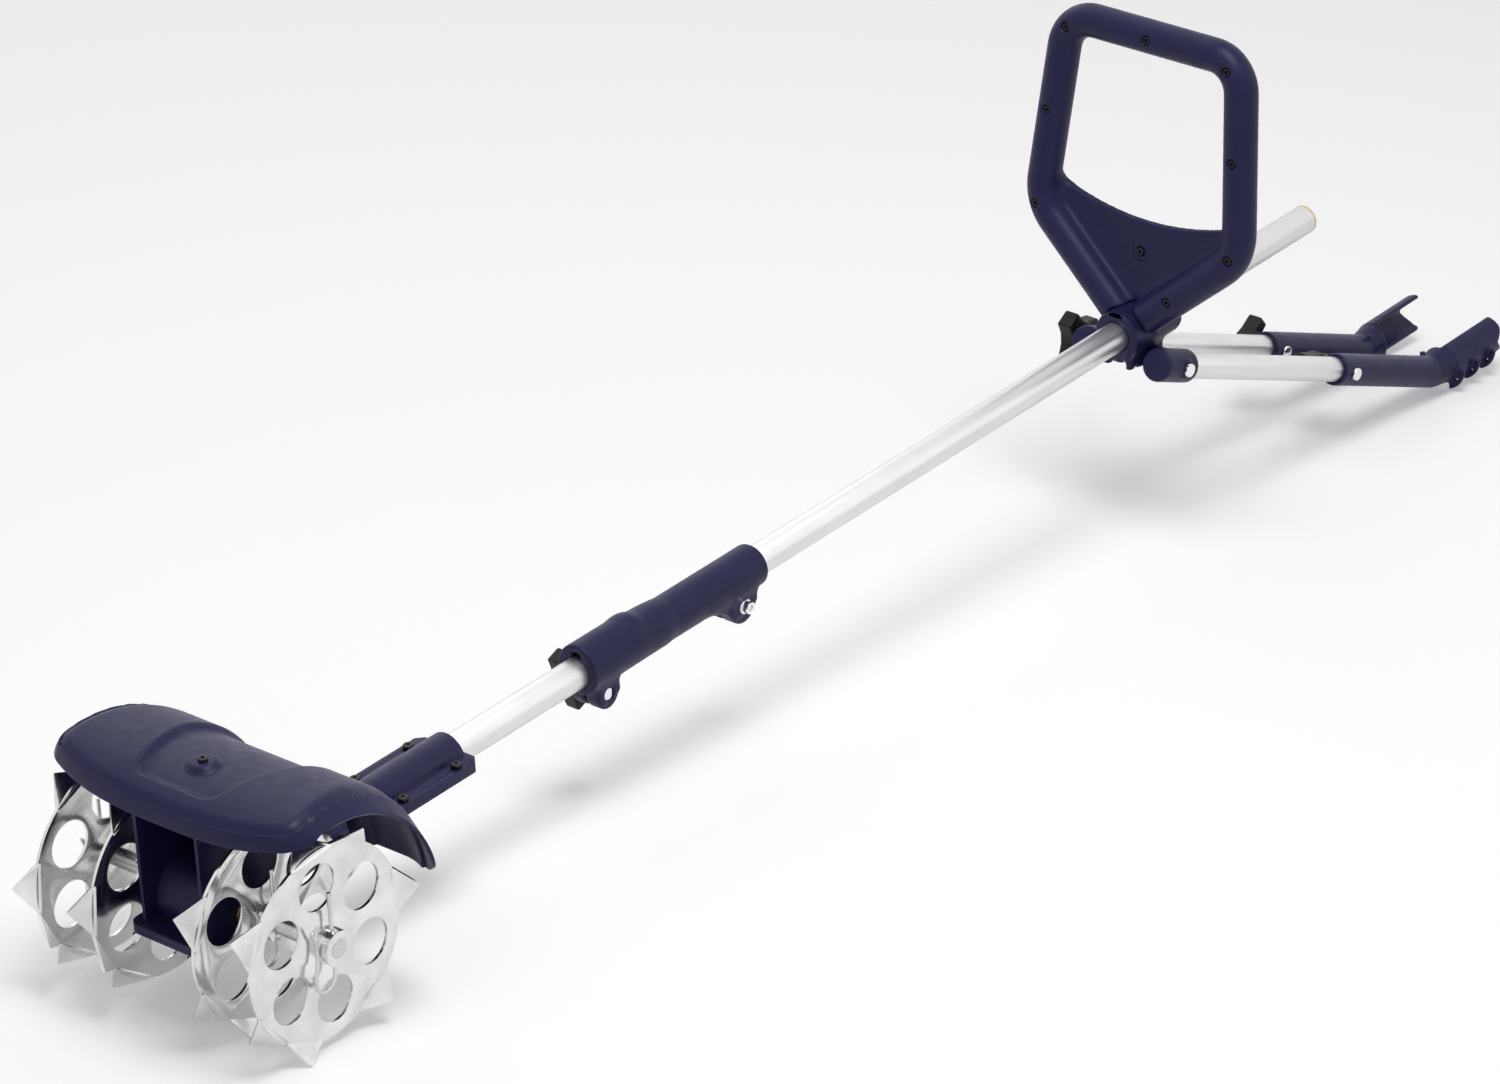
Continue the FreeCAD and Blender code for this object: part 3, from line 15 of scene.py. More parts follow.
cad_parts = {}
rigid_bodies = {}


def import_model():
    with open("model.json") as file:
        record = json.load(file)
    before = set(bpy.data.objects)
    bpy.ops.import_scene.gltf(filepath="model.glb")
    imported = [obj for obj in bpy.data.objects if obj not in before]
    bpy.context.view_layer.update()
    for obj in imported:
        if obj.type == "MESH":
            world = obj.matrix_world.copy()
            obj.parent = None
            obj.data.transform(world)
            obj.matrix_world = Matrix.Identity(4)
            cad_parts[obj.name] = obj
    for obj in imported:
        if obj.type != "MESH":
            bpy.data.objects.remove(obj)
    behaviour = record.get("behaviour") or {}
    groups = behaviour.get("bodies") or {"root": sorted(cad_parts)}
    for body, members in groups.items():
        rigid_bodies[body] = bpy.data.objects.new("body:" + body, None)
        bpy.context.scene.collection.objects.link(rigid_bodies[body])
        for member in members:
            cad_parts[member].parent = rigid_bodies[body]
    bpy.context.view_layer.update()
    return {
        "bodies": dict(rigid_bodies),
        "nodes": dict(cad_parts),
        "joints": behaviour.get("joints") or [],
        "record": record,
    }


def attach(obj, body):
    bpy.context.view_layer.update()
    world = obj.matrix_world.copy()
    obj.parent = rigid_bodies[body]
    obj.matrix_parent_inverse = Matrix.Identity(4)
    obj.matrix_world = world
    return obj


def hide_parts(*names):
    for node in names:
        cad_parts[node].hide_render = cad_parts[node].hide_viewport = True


LOG = logging.getLogger("cultivator")
MM = 0.001
PAST = 9.0  # how far a cut runs past a face, in millimetres
FAR = 60.0  # half length of a cut that goes right through, in millimetres
Point = tuple[float, float, float]


class Side(Enum):
    """The two sides of the tool, as the sign of Y."""

    RIGHT = -1
    LEFT = 1

    @property
    def word(self) -> str:
        """The word in the nodes' names."""
        return self.name.lower()


@dataclass(frozen=True)
class ShaftFrame:
    """The machine's own frame: X up the drive tube, Y along the axle, origin where the two cross.

    Args:
        matrix: Placement of the shaft frame in the row frame, in metres.
    """

    matrix: Matrix

    @classmethod
    def from_record(cls, joints: list[dict]) -> "ShaftFrame":
        """Read the frame from the joints of the axle and of the drive shaft.

        Args:
            joints: The record's joints.

        Returns:
            The shaft frame.
        """
        by_name = {joint["name"]: joint for joint in joints}
        along = Vector(by_name["drive_spin"]["axis"]).normalized()
        across = Vector((0.0, 1.0, 0.0))
        up = along.cross(across).normalized()
        matrix = Matrix((along, across, up)).transposed().to_4x4()
        matrix.translation = Vector(by_name["axle_spin"]["pos_m"])
        return cls(matrix)

    @property
    def millimetres(self) -> Matrix:
        """Matrix from shaft-frame millimetres to row-frame metres."""
        return self.matrix @ Matrix.Scale(MM, 4)

    def direction(self, x: float, y: float, z: float) -> Vector:
        """Direction of the row frame from one of the shaft frame."""
        return (self.matrix.to_3x3() @ Vector((x, y, z))).normalized()

    @property
    def slope(self) -> float:
        """Slope of the drive tube, in radians."""
        along = self.direction(1.0, 0.0, 0.0)
        return math.atan2(along.z, along.x)


class NodeTree:
    """Short calls for the nodes of one material."""

    def __init__(self, name: str) -> None:
        """Start a material with its principled shader and coordinates."""
        self.material = bpy.data.materials.new(name)
        self.material.use_nodes = True
        self.tree = self.material.node_tree
        self.shader = self.tree.nodes["Principled BSDF"]
        self.coordinates = self.tree.nodes.new("ShaderNodeTexCoord").outputs["Object"]

    def link(self, source: bpy.types.NodeSocket, target: bpy.types.NodeSocket) -> None:
        """Join two sockets."""
        self.tree.links.new(source, target)

    def noise(self, scale: float, detail: float = 3.0) -> bpy.types.NodeSocket:
        """Noise over the piece's own coordinates, its scale per metre."""
        node = self.tree.nodes.new("ShaderNodeTexNoise")
        node.inputs["Scale"].default_value = scale
        node.inputs["Detail"].default_value = detail
        self.link(self.coordinates, node.inputs["Vector"])
        return node.outputs["Fac"]

    def drawn_noise(self, scales: Point, turn: float) -> bpy.types.NodeSocket:
        """Noise drawn out along one direction, for drawn or brushed metal.

        Args:
            scales: Frequency along each axis, per metre.
            turn: Turn of the pattern about Y, in radians.

        Returns:
            The noise's factor.
        """
        mapping = self.tree.nodes.new("ShaderNodeMapping")
        mapping.vector_type = "TEXTURE"
        mapping.inputs["Rotation"].default_value = (0.0, -turn, 0.0)
        mapping.inputs["Scale"].default_value = tuple(1.0 / scale for scale in scales)
        self.link(self.coordinates, mapping.inputs["Vector"])
        node = self.tree.nodes.new("ShaderNodeTexNoise")
        node.inputs["Scale"].default_value = 1.0
        node.inputs["Detail"].default_value = 2.0
        self.link(mapping.outputs["Vector"], node.inputs["Vector"])
        return node.outputs["Fac"]

    def colours(self, factor: bpy.types.NodeSocket, low: Point, high: Point) -> None:
        """Colour the surface by a factor, from one colour to another."""
        node = self.tree.nodes.new("ShaderNodeValToRGB")
        for element, position, colour in zip(node.color_ramp.elements, (0.35, 0.65), (low, high)):
            element.position = position
            element.color = (*colour, 1.0)
        self.link(factor, node.inputs["Fac"])
        self.link(node.outputs["Color"], self.shader.inputs["Base Color"])

    def gloss(self, factor: bpy.types.NodeSocket, low: float, high: float) -> None:
        """Vary the roughness by a factor, between two values."""
        node = self.tree.nodes.new("ShaderNodeMapRange")
        node.inputs["From Min"].default_value = 0.3
        node.inputs["From Max"].default_value = 0.7
        node.inputs["To Min"].default_value = low
        node.inputs["To Max"].default_value = high
        self.link(factor, node.inputs["Value"])
        self.link(node.outputs["Result"], self.shader.inputs["Roughness"])

    def bump(self, height: bpy.types.NodeSocket, relief: float) -> None:
        """Raise the surface by a height pattern, its relief in metres."""
        node = self.tree.nodes.new("ShaderNodeBump")
        node.inputs["Strength"].default_value = 0.4
        node.inputs["Distance"].default_value = relief
        self.link(height, node.inputs["Height"])
        self.link(node.outputs["Normal"], self.shader.inputs["Normal"])


@dataclass(frozen=True)
class MouldedPlastic:
    """Injection-moulded plastic with a fine spark-eroded grain.

    Args:
        colour: Linear base colour.
        lighter: Colour of the faint mottling.
        gloss: Low and high roughness.
        grain: Frequency of the grain, per metre.
        relief: Height of the grain, in metres.
    """

    colour: Point
    lighter: Point
    gloss: tuple[float, float] = (0.36, 0.46)
    grain: float = 1500.0
    relief: float = 0.00005

    def build(self, name: str) -> bpy.types.Material:
        """Make the material under a name."""
        nodes = NodeTree(name)
        nodes.colours(nodes.noise(40.0, 4.0), self.colour, self.lighter)
        nodes.gloss(nodes.noise(90.0), *self.gloss)
        nodes.shader.inputs["Specular IOR Level"].default_value = 0.22
        nodes.bump(nodes.noise(self.grain, 2.0), self.relief)
        return nodes.material


@dataclass(frozen=True)
class BareMetal:
    """Plated, drawn or turned metal.

    Args:
        colour: Linear base colour.
        darker: Colour of the cloudy darker patches; on the tine steel they are painted dark reflections.
        gloss: Low and high roughness.
        grain: Frequency of the grain along X, Y and Z, per metre.
        follows_tube: Whether the grain runs along the drive tube.
        metallic: Share of metal.
        relief: Height of the grain, in metres.
    """

    colour: Point
    darker: Point
    gloss: tuple[float, float]
    grain: Point = (700.0, 700.0, 700.0)
    follows_tube: bool = False
    metallic: float = 1.0
    relief: float = 0.00001

    def build(self, name: str, tube_slope: float) -> bpy.types.Material:
        """Make the material under a name, its grain turned with the tube where it follows it."""
        nodes = NodeTree(name)
        # the darker patches are random mottling, and on the tine steel they are painted dark reflections
        nodes.colours(nodes.noise(28.0, 5.0), self.darker, self.colour)
        grain = nodes.drawn_noise(self.grain, tube_slope if self.follows_tube else 0.0)
        nodes.gloss(grain, *self.gloss)
        nodes.shader.inputs["Metallic"].default_value = self.metallic
        nodes.bump(grain, self.relief)
        return nodes.material


PLASTICS = {
    "navy_plastic": MouldedPlastic((0.0115, 0.0108, 0.057), (0.0130, 0.0122, 0.063)),
    "black_plastic": MouldedPlastic((0.007, 0.007, 0.007), (0.009, 0.009, 0.009), (0.38, 0.5)),
}
METALS = {
    "tube_aluminium": BareMetal((0.74, 0.74, 0.745), (0.71, 0.71, 0.715), (0.34, 0.40),
                                (12.0, 900.0, 900.0), True, relief=0.000002),
    # the tine steel's darker patches are painted dark reflections, standing in for the dark surroundings that
    # the steel would mirror
    "tine_steel": BareMetal((0.80, 0.80, 0.79), (0.62, 0.62, 0.61), (0.10, 0.24)),
    "spring_wire": BareMetal((0.66, 0.66, 0.65), (0.52, 0.52, 0.51), (0.12, 0.2)),
    "machined_steel": BareMetal((0.62, 0.62, 0.61), (0.54, 0.54, 0.53), (0.2, 0.34)),
    "bush_brass": BareMetal((0.62, 0.44, 0.17), (0.52, 0.36, 0.13), (0.18, 0.3)),
    "black_screws": BareMetal((0.018, 0.018, 0.018), (0.012, 0.012, 0.012), (0.3, 0.42), metallic=0.6),
    "zinc_bolts": BareMetal((0.86, 0.87, 0.88), (0.76, 0.77, 0.78), (0.12, 0.24)),
}


@dataclass
class Workshop:
    """Where a finished mesh gets its place, finish and body.

    Args:
        frame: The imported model, as loaded.
        shaft: The machine's own frame.
    """

    frame: dict
    shaft: ShaftFrame
    materials: dict[str, bpy.types.Material] = field(default_factory=dict)

    def __post_init__(self) -> None:
        """Make every finish once."""
        for name, plastic in PLASTICS.items():
            self.materials[name] = plastic.build(name)
        for name, metal in METALS.items():
            self.materials[name] = metal.build(name, self.shaft.slope)

    def body_of(self, node: str) -> str:
        """Body that carries a CAD node."""
        bodies = self.frame["record"]["behaviour"]["bodies"]
        return next(body for body, nodes in bodies.items() if node in nodes)

    def finish(self, mesh: bpy.types.Mesh, name: str, node: str, slot: str, local: Matrix | None = None,
               sharp: float = math.radians(40.0)) -> bpy.types.Object:
        """Bring a mesh to its place and let it stand for a CAD node.

        Args:
            mesh: The mesh, in millimetres of its own frame.
            name: Name of the piece.
            node: The CAD node that it replaces, whose body it rides on.
            slot: The record's material slot.
            local: Its own frame in the shaft frame, in millimetres.
            sharp: Angle above which an edge stays sharp, in radians.

        Returns:
            The finished piece.
        """
        mesh.transform(self.shaft.millimetres @ (local or Matrix.Identity(4)))
        mesh.shade_smooth()
        mesh.set_sharp_from_angle(angle=sharp)
        mesh.materials.clear()
        mesh.materials.append(self.materials[slot])
        piece = bpy.data.objects.new(name, mesh)
        bpy.context.scene.collection.objects.link(piece)
        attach(piece, self.body_of(node))
        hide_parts(node)
        LOG.info("made %s", name)
        return piece


def blended(first: np.ndarray, second: np.ndarray, radius: float) -> np.ndarray:
    """Union of two distance fields with a fillet of about that radius between them."""
    near = np.maximum(radius - np.abs(first - second), 0.0) / radius
    return np.minimum(first, second) - near * near * radius / 4.0


def carved(first: np.ndarray, second: np.ndarray, radius: float = 0.8) -> np.ndarray:
    """The first field less the second, the rim of the cut rounded by about that radius."""
    return -blended(-first, second, radius)


def kept(first: np.ndarray, second: np.ndarray, radius: float = 0.8) -> np.ndarray:
    """What two fields share, with a rounded rim."""
    return -blended(-first, -second, radius)


def cornered(across: np.ndarray, along: np.ndarray, edge: float) -> np.ndarray:
    """Distance to the corner of two faces, rounded by an edge radius."""
    across = across + edge
    along = along + edge
    outside = np.sqrt(np.maximum(across, 0.0) ** 2 + np.maximum(along, 0.0) ** 2)
    return outside + np.minimum(np.maximum(across, along), 0.0) - edge


@dataclass
class Lattice:
    """Points in millimetres at which a moulding's distances are worked out, less than zero inside it.

    Args:
        low: Lowest corner.
        high: Highest corner.
        pitch: Spacing of the points.
    """

    low: Point
    high: Point
    pitch: float

    def __post_init__(self) -> None:
        """Lay out the coordinates."""
        axes = [np.arange(start, stop + self.pitch, self.pitch, dtype=np.float32)
                for start, stop in zip(self.low, self.high)]
        self.x, self.y, self.z = np.meshgrid(*axes, indexing="ij", sparse=True)

    def seen_from(self, local: Matrix) -> "Lattice":
        """The same points in the coordinates of another frame, placed in this one by a matrix."""
        turned = object.__new__(Lattice)
        rows = local.inverted()
        turned.x, turned.y, turned.z = (
            row[0] * self.x + row[1] * self.y + row[2] * self.z + row[3] for row in rows[:3])
        return turned

    def along(self, start: Point, end: Point) -> tuple[np.ndarray, np.ndarray, float]:
        """Distance along and from a line, and the line's length."""
        begin, direction = Vector(start), Vector(end) - Vector(start)
        length = direction.length
        direction.normalize()
        dx, dy, dz = self.x - begin.x, self.y - begin.y, self.z - begin.z
        along = dx * direction.x + dy * direction.y + dz * direction.z
        across = np.sqrt(np.maximum(dx * dx + dy * dy + dz * dz - along * along, 0.0))
        return along, across, length

    def bar(self, start: Point, end: Point, radius: float, end_radius: float | None = None,
            edge: float = 1.0) -> np.ndarray:
        """Round bar with flat ends, straight or tapered, its rims rounded."""
        along, across, length = self.along(start, end)
        final = radius if end_radius is None else end_radius
        tilt = (final - radius) / length
        wall = (across - radius - tilt * np.clip(along, 0.0, length)) / math.hypot(1.0, tilt)
        return cornered(wall, np.abs(along - length / 2) - length / 2, edge)

    def rod(self, start: Point, end: Point, radius: float) -> np.ndarray:
        """Round bar with ball ends."""
        along, across, length = self.along(start, end)
        past = along - np.clip(along, 0.0, length)
        return np.sqrt(across ** 2 + past ** 2) - radius

    def chain(self, points: Sequence[Point], radius: float) -> np.ndarray:
        """Round bar through several points."""
        bars = [self.rod(start, end, radius) for start, end in zip(points, points[1:])]
        return np.minimum.reduce(bars)

    def slab(self, low: Point, high: Point, edge: float = 1.0) -> np.ndarray:
        """Block between two corners, its edges rounded."""
        sides = [np.abs(axis - (start + stop) / 2) - (stop - start) / 2 + edge
                 for axis, start, stop in zip((self.x, self.y, self.z), low, high)]
        outside = np.sqrt(sum(np.maximum(side, 0.0) ** 2 for side in sides))
        inside = np.minimum(np.maximum(np.maximum(sides[0], sides[1]), sides[2]), 0.0)
        return outside + inside - edge

    def plate(self, outline: Sequence[tuple[float, float]], low: float, high: float, axis: str = "y",
              edge: float = 1.0) -> np.ndarray:
        """Flat outline drawn out along one axis; its corners are pairs of the other two coordinates."""
        across, up = {"x": (self.y, self.z), "y": (self.x, self.z), "z": (self.x, self.y)}[axis]
        depth = getattr(self, axis)
        nearest, sign = None, 1.0
        for (ax, ay), (bx, by) in zip(outline, [*outline[1:], outline[0]]):
            ex, ey, wx, wy = bx - ax, by - ay, across - ax, up - ay
            share = np.clip((wx * ex + wy * ey) / (ex * ex + ey * ey), 0.0, 1.0)
            gap = (wx - ex * share) ** 2 + (wy - ey * share) ** 2
            nearest = gap if nearest is None else np.minimum(nearest, gap)
            tests = (up >= ay, up < by, ex * wy > ey * wx)
            crossing = (tests[0] & tests[1] & tests[2]) | ~(tests[0] | tests[1] | tests[2])
            sign = np.where(crossing, -sign, sign)
        return cornered(sign * np.sqrt(nearest), np.abs(depth - (low + high) / 2) - (high - low) / 2, edge)

    def skin(self, distances: np.ndarray, name: str, mirrored: bool = False) -> bpy.types.Mesh:
        """Closed mesh of the surface at zero distance, with one point in each cell that it crosses.

        Args:
            distances: Distances at the lattice's points.
            name: Name of the mesh.
            mirrored: Whether Y is reversed.

        Returns:
            The mesh, in millimetres.
        """
        inside = distances < 0
        cells = tuple(count - 1 for count in distances.shape)
        total = np.zeros((*cells, 3))
        crossings = np.zeros(cells, int)
        edges = []
        for axis in range(3):
            first = np.moveaxis(distances, axis, 0)
            change = np.moveaxis(inside, axis, 0)
            change = change[:-1] != change[1:]
            share = np.where(change, first[:-1] / np.where(change, first[:-1] - first[1:], 1.0), 0.0)
            edges.append(np.moveaxis(change, 0, axis))
            share = np.moveaxis(share, 0, axis)
            for corner in ((0, 0), (0, 1), (1, 0), (1, 1)):
                steps = list(corner)
                steps.insert(axis, 0)
                view = tuple(slice(step, step + count) for step, count in zip(steps, cells))
                crossed = edges[axis][view]
                crossings += crossed
                for other in range(3):
                    total[..., other] += share[view] if other == axis else crossed * steps[other]
        used = crossings > 0
        index = np.full(cells, -1)
        index[used] = np.arange(np.count_nonzero(used))
        places = np.argwhere(used) + total[used] / crossings[used][:, None]
        points = places * self.pitch + np.array(self.low)
        quads = []
        for axis in range(3):
            one, two = (axis + 1) % 3, (axis + 2) % 3
            where = np.argwhere(edges[axis])
            where = where[(where[:, one] > 0) & (where[:, two] > 0)]
            back_one, back_two = np.eye(3, dtype=int)[one], np.eye(3, dtype=int)[two]
            ring = [index[tuple((where - step).T)]
                    for step in (back_one + back_two, back_two, 0 * back_one, back_one)]
            quad = np.stack(ring, axis=1)
            flip = ~inside[tuple(where.T)]
            quad[flip] = quad[flip][:, ::-1]
            quads.append(quad)
        if mirrored:
            points[:, 1] *= -1.0
            quads = [quad[:, ::-1] for quad in quads]
        mesh = bpy.data.meshes.new(name)
        mesh.from_pydata(points.tolist(), [], np.concatenate(quads).tolist())
        return with_modifiers(mesh, [("SMOOTH", {"factor": 0.5, "iterations": 3})])


def smooth_step(value: float) -> float:
    """Zero to one with soft ends, held outside that range."""
    value = min(max(value, 0.0), 1.0)
    return value * value * (3.0 - 2.0 * value)


def with_modifiers(mesh: bpy.types.Mesh, steps: Sequence[tuple[str, dict]]) -> bpy.types.Mesh:
    """The mesh after some modifiers.

    Args:
        mesh: The mesh, which is used up.
        steps: Kind and settings of each modifier.

    Returns:
        The new mesh, under the same name.
    """
    holder = bpy.data.objects.new(mesh.name, mesh)
    bpy.context.scene.collection.objects.link(holder)
    for kind, settings in steps:
        modifier = holder.modifiers.new(kind.lower(), kind)
        for key, value in settings.items():
            setattr(modifier, key, value)
    result = bpy.data.meshes.new_from_object(holder.evaluated_get(bpy.context.evaluated_depsgraph_get()))
    name = mesh.name
    bpy.data.objects.remove(holder)
    bpy.data.meshes.remove(mesh)
    result.name = name
    return result


@dataclass
class CarriedNodes:
    """The CAD nodes that keep their own shape, with eased edges and a finish.

    Args:
        workshop: Where finishes come from.
        weld: Distance within which loose corners are joined, in metres.
        flat: Angle under which neighbouring facets are one face, in radians.
        edge: Width of the rounding on edges, in metres.
        edge_angle: Angle above which an edge is rounded, in radians.
    """

    workshop: Workshop
    weld: float = 0.00001
    flat: float = math.radians(0.5)
    edge: float = 0.0004
    edge_angle: float = math.radians(35.0)

    def ease(self, piece: bpy.types.Object, width: float) -> None:
        """Join a node's loose corners and round its edges."""
        weld = piece.modifiers.new("weld", "WELD")
        weld.merge_threshold = self.weld
        merge = piece.modifiers.new("faces", "DECIMATE")
        merge.decimate_type = "DISSOLVE"
        merge.angle_limit = self.flat
        if width:
            bevel = piece.modifiers.new("edges", "BEVEL")
            bevel.width = width
            bevel.segments = 2
            bevel.limit_method = "ANGLE"
            bevel.angle_limit = self.edge_angle
            bevel.use_clamp_overlap = True

    def dress(self, replaced: set[str]) -> None:
        """Finish every node that nothing stands for."""
        smooth = smoothing_tree()
        for row in self.workshop.frame["record"]["subparts"]:
            piece = self.workshop.frame["nodes"][row["node"]]
            piece.data.materials.clear()
            piece.data.materials.append(self.workshop.materials[row["material_slot"]])
            if row["node"] in replaced:
                continue
            self.ease(piece, self.edge)
            piece.modifiers.new("smooth", "NODES").node_group = smooth
            LOG.info("dressed %s", row["node"])


def smoothing_tree() -> bpy.types.NodeTree:
    """Geometry nodes that shade faces smooth and keep edges above an angle sharp."""
    tree = bpy.data.node_groups.new("smooth_by_angle", "GeometryNodeTree")
    tree.interface.new_socket("Geometry", in_out="INPUT", socket_type="NodeSocketGeometry")
    limit = tree.interface.new_socket("Angle", in_out="INPUT", socket_type="NodeSocketFloat")
    limit.default_value = math.radians(33.0)
    tree.interface.new_socket("Geometry", in_out="OUTPUT", socket_type="NodeSocketGeometry")
    source, sink = tree.nodes.new("NodeGroupInput"), tree.nodes.new("NodeGroupOutput")
    faces, edges = (tree.nodes.new("GeometryNodeSetShadeSmooth") for domain in range(2))
    edges.domain = "EDGE"
    edges.inputs["Shade Smooth"].default_value = False
    angle = tree.nodes.new("GeometryNodeInputMeshEdgeAngle")
    above = tree.nodes.new("FunctionNodeCompare")
    above.operation = "GREATER_THAN"
    tree.links.new(source.outputs["Geometry"], faces.inputs["Geometry"])
    tree.links.new(faces.outputs["Geometry"], edges.inputs["Geometry"])
    tree.links.new(angle.outputs["Unsigned Angle"], above.inputs["A"])
    tree.links.new(source.outputs["Angle"], above.inputs["B"])
    tree.links.new(above.outputs["Result"], edges.inputs["Selection"])
    tree.links.new(edges.outputs["Geometry"], sink.inputs["Geometry"])
    return tree


def seen_rays(tree: bpy.types.NodeTree) -> bpy.types.NodeSocket:
    """Add nodes that tell what the camera sees, straight, mirrored or through a clear piece.

    Args:
        tree: The material's or world's node tree.

    Returns:
        A socket that is one for such a ray and zero for any other.
    """
    path = tree.nodes.new("ShaderNodeLightPath")
    seen = path.outputs["Is Camera Ray"]
    for ray in ("Is Glossy Ray", "Is Transmission Ray"):
        either = tree.nodes.new("ShaderNodeMath")
        either.operation = "MAXIMUM"
        tree.links.new(seen, either.inputs[0])
        tree.links.new(path.outputs[ray], either.inputs[1])
        seen = either.outputs["Value"]
    return seen


@dataclass
class Studio:
    """Pale floor, soft light and the camera of the photograph, placed in shaft-frame millimetres.

    Args:
        workshop: Gives the machine's own frame.
    """

    workshop: Workshop
    camera_at: Point = (-2943.4, -3101.1, 2584.4)
    camera_right: Point = (0.63648, -0.76985, -0.04720)
    camera_down: Point = (-0.39465, -0.27248, -0.87750)
    lens: float = 162.43
    sensor: float = 36.0
    floor_half: float = 14.0
    floor_glow: float = 0.26
    lamps: Sequence[tuple[str, Point, float, float]] = (
        ("key_light", (-0.5, -0.6, 3.2), 1.5, 54.0),
        ("fill_light", (1.8, -2.8, 1.8), 3.0, 9.0),
        ("back_light", (1.0, 2.8, 2.6), 2.4, 14.0),
        ("front_light", (-3.4, -0.6, 1.4), 2.2, 4.0),
    )

    def add_camera(self) -> None:
        """Place the camera as it stood to the tube."""
        shaft = self.workshop.shaft
        right = shaft.direction(*self.camera_right)
        up = -shaft.direction(*self.camera_down)
        back = right.cross(up).normalized()
        up = back.cross(right).normalized()
        data = bpy.data.cameras.new("camera")
        data.lens = self.lens
        data.sensor_width = self.sensor
        data.sensor_fit = "HORIZONTAL"
        camera = bpy.data.objects.new("camera", data)
        matrix = Matrix((right, up, back)).transposed().to_4x4()
        matrix.translation = shaft.millimetres @ Vector(self.camera_at)
        camera.matrix_world = matrix
        bpy.context.scene.collection.objects.link(camera)
        bpy.context.scene.camera = camera

    def add_floor(self) -> None:
        """Lay a plain pale floor that keeps the shadow."""
        half = self.floor_half
        mesh = bpy.data.meshes.new("floor")
        corners = [(-half, -half, 0.0), (half, -half, 0.0), (half, half, 0.0), (-half, half, 0.0)]
        mesh.from_pydata(corners, [], [(0, 1, 2, 3)])
        floor = bpy.data.objects.new("floor", mesh)
        bpy.context.scene.collection.objects.link(floor)
        nodes = NodeTree("floor")
        nodes.shader.inputs["Base Color"].default_value = (0.90, 0.90, 0.90, 1.0)
        nodes.shader.inputs["Roughness"].default_value = 0.9
        nodes.shader.inputs["Specular IOR Level"].default_value = 0.1
        nodes.shader.inputs["Emission Color"].default_value = (1.0, 1.0, 1.0, 1.0)
        glow = nodes.tree.nodes.new("ShaderNodeMath")
        glow.operation = "MULTIPLY"
        glow.inputs[1].default_value = self.floor_glow
        nodes.link(seen_rays(nodes.tree), glow.inputs[0])
        nodes.link(glow.outputs["Value"], nodes.shader.inputs["Emission Strength"])
        mesh.materials.append(nodes.material)

    def add_lamps(self) -> None:
        """Hang the soft lamps round the tool."""
        for name, place, size, power in self.lamps:
            data = bpy.data.lights.new(name, "AREA")
            data.size = size
            data.energy = power
            lamp = bpy.data.objects.new(name, data)
            lamp.location = place
            lamp.rotation_euler = (-Vector(place)).to_track_quat("-Z", "Y").to_euler()
            bpy.context.scene.collection.objects.link(lamp)

    def add_sky(self) -> None:
        """Set a white surround that the camera and the metal see at full strength."""
        world = bpy.data.worlds.new("studio")
        bpy.context.scene.world = world
        world.use_nodes = True
        tree = world.node_tree
        background = tree.nodes["Background"]
        background.inputs["Color"].default_value = (1.0, 1.0, 1.0, 1.0)
        strength = tree.nodes.new("ShaderNodeMapRange")
        strength.inputs["To Min"].default_value = 0.27
        strength.inputs["To Max"].default_value = 1.0
        tree.links.new(seen_rays(tree), strength.inputs["Value"])
        tree.links.new(strength.outputs["Result"], background.inputs["Strength"])

    def build(self) -> None:
        """Make the whole studio."""
        self.add_camera()
        self.add_floor()
        self.add_lamps()
        self.add_sky()


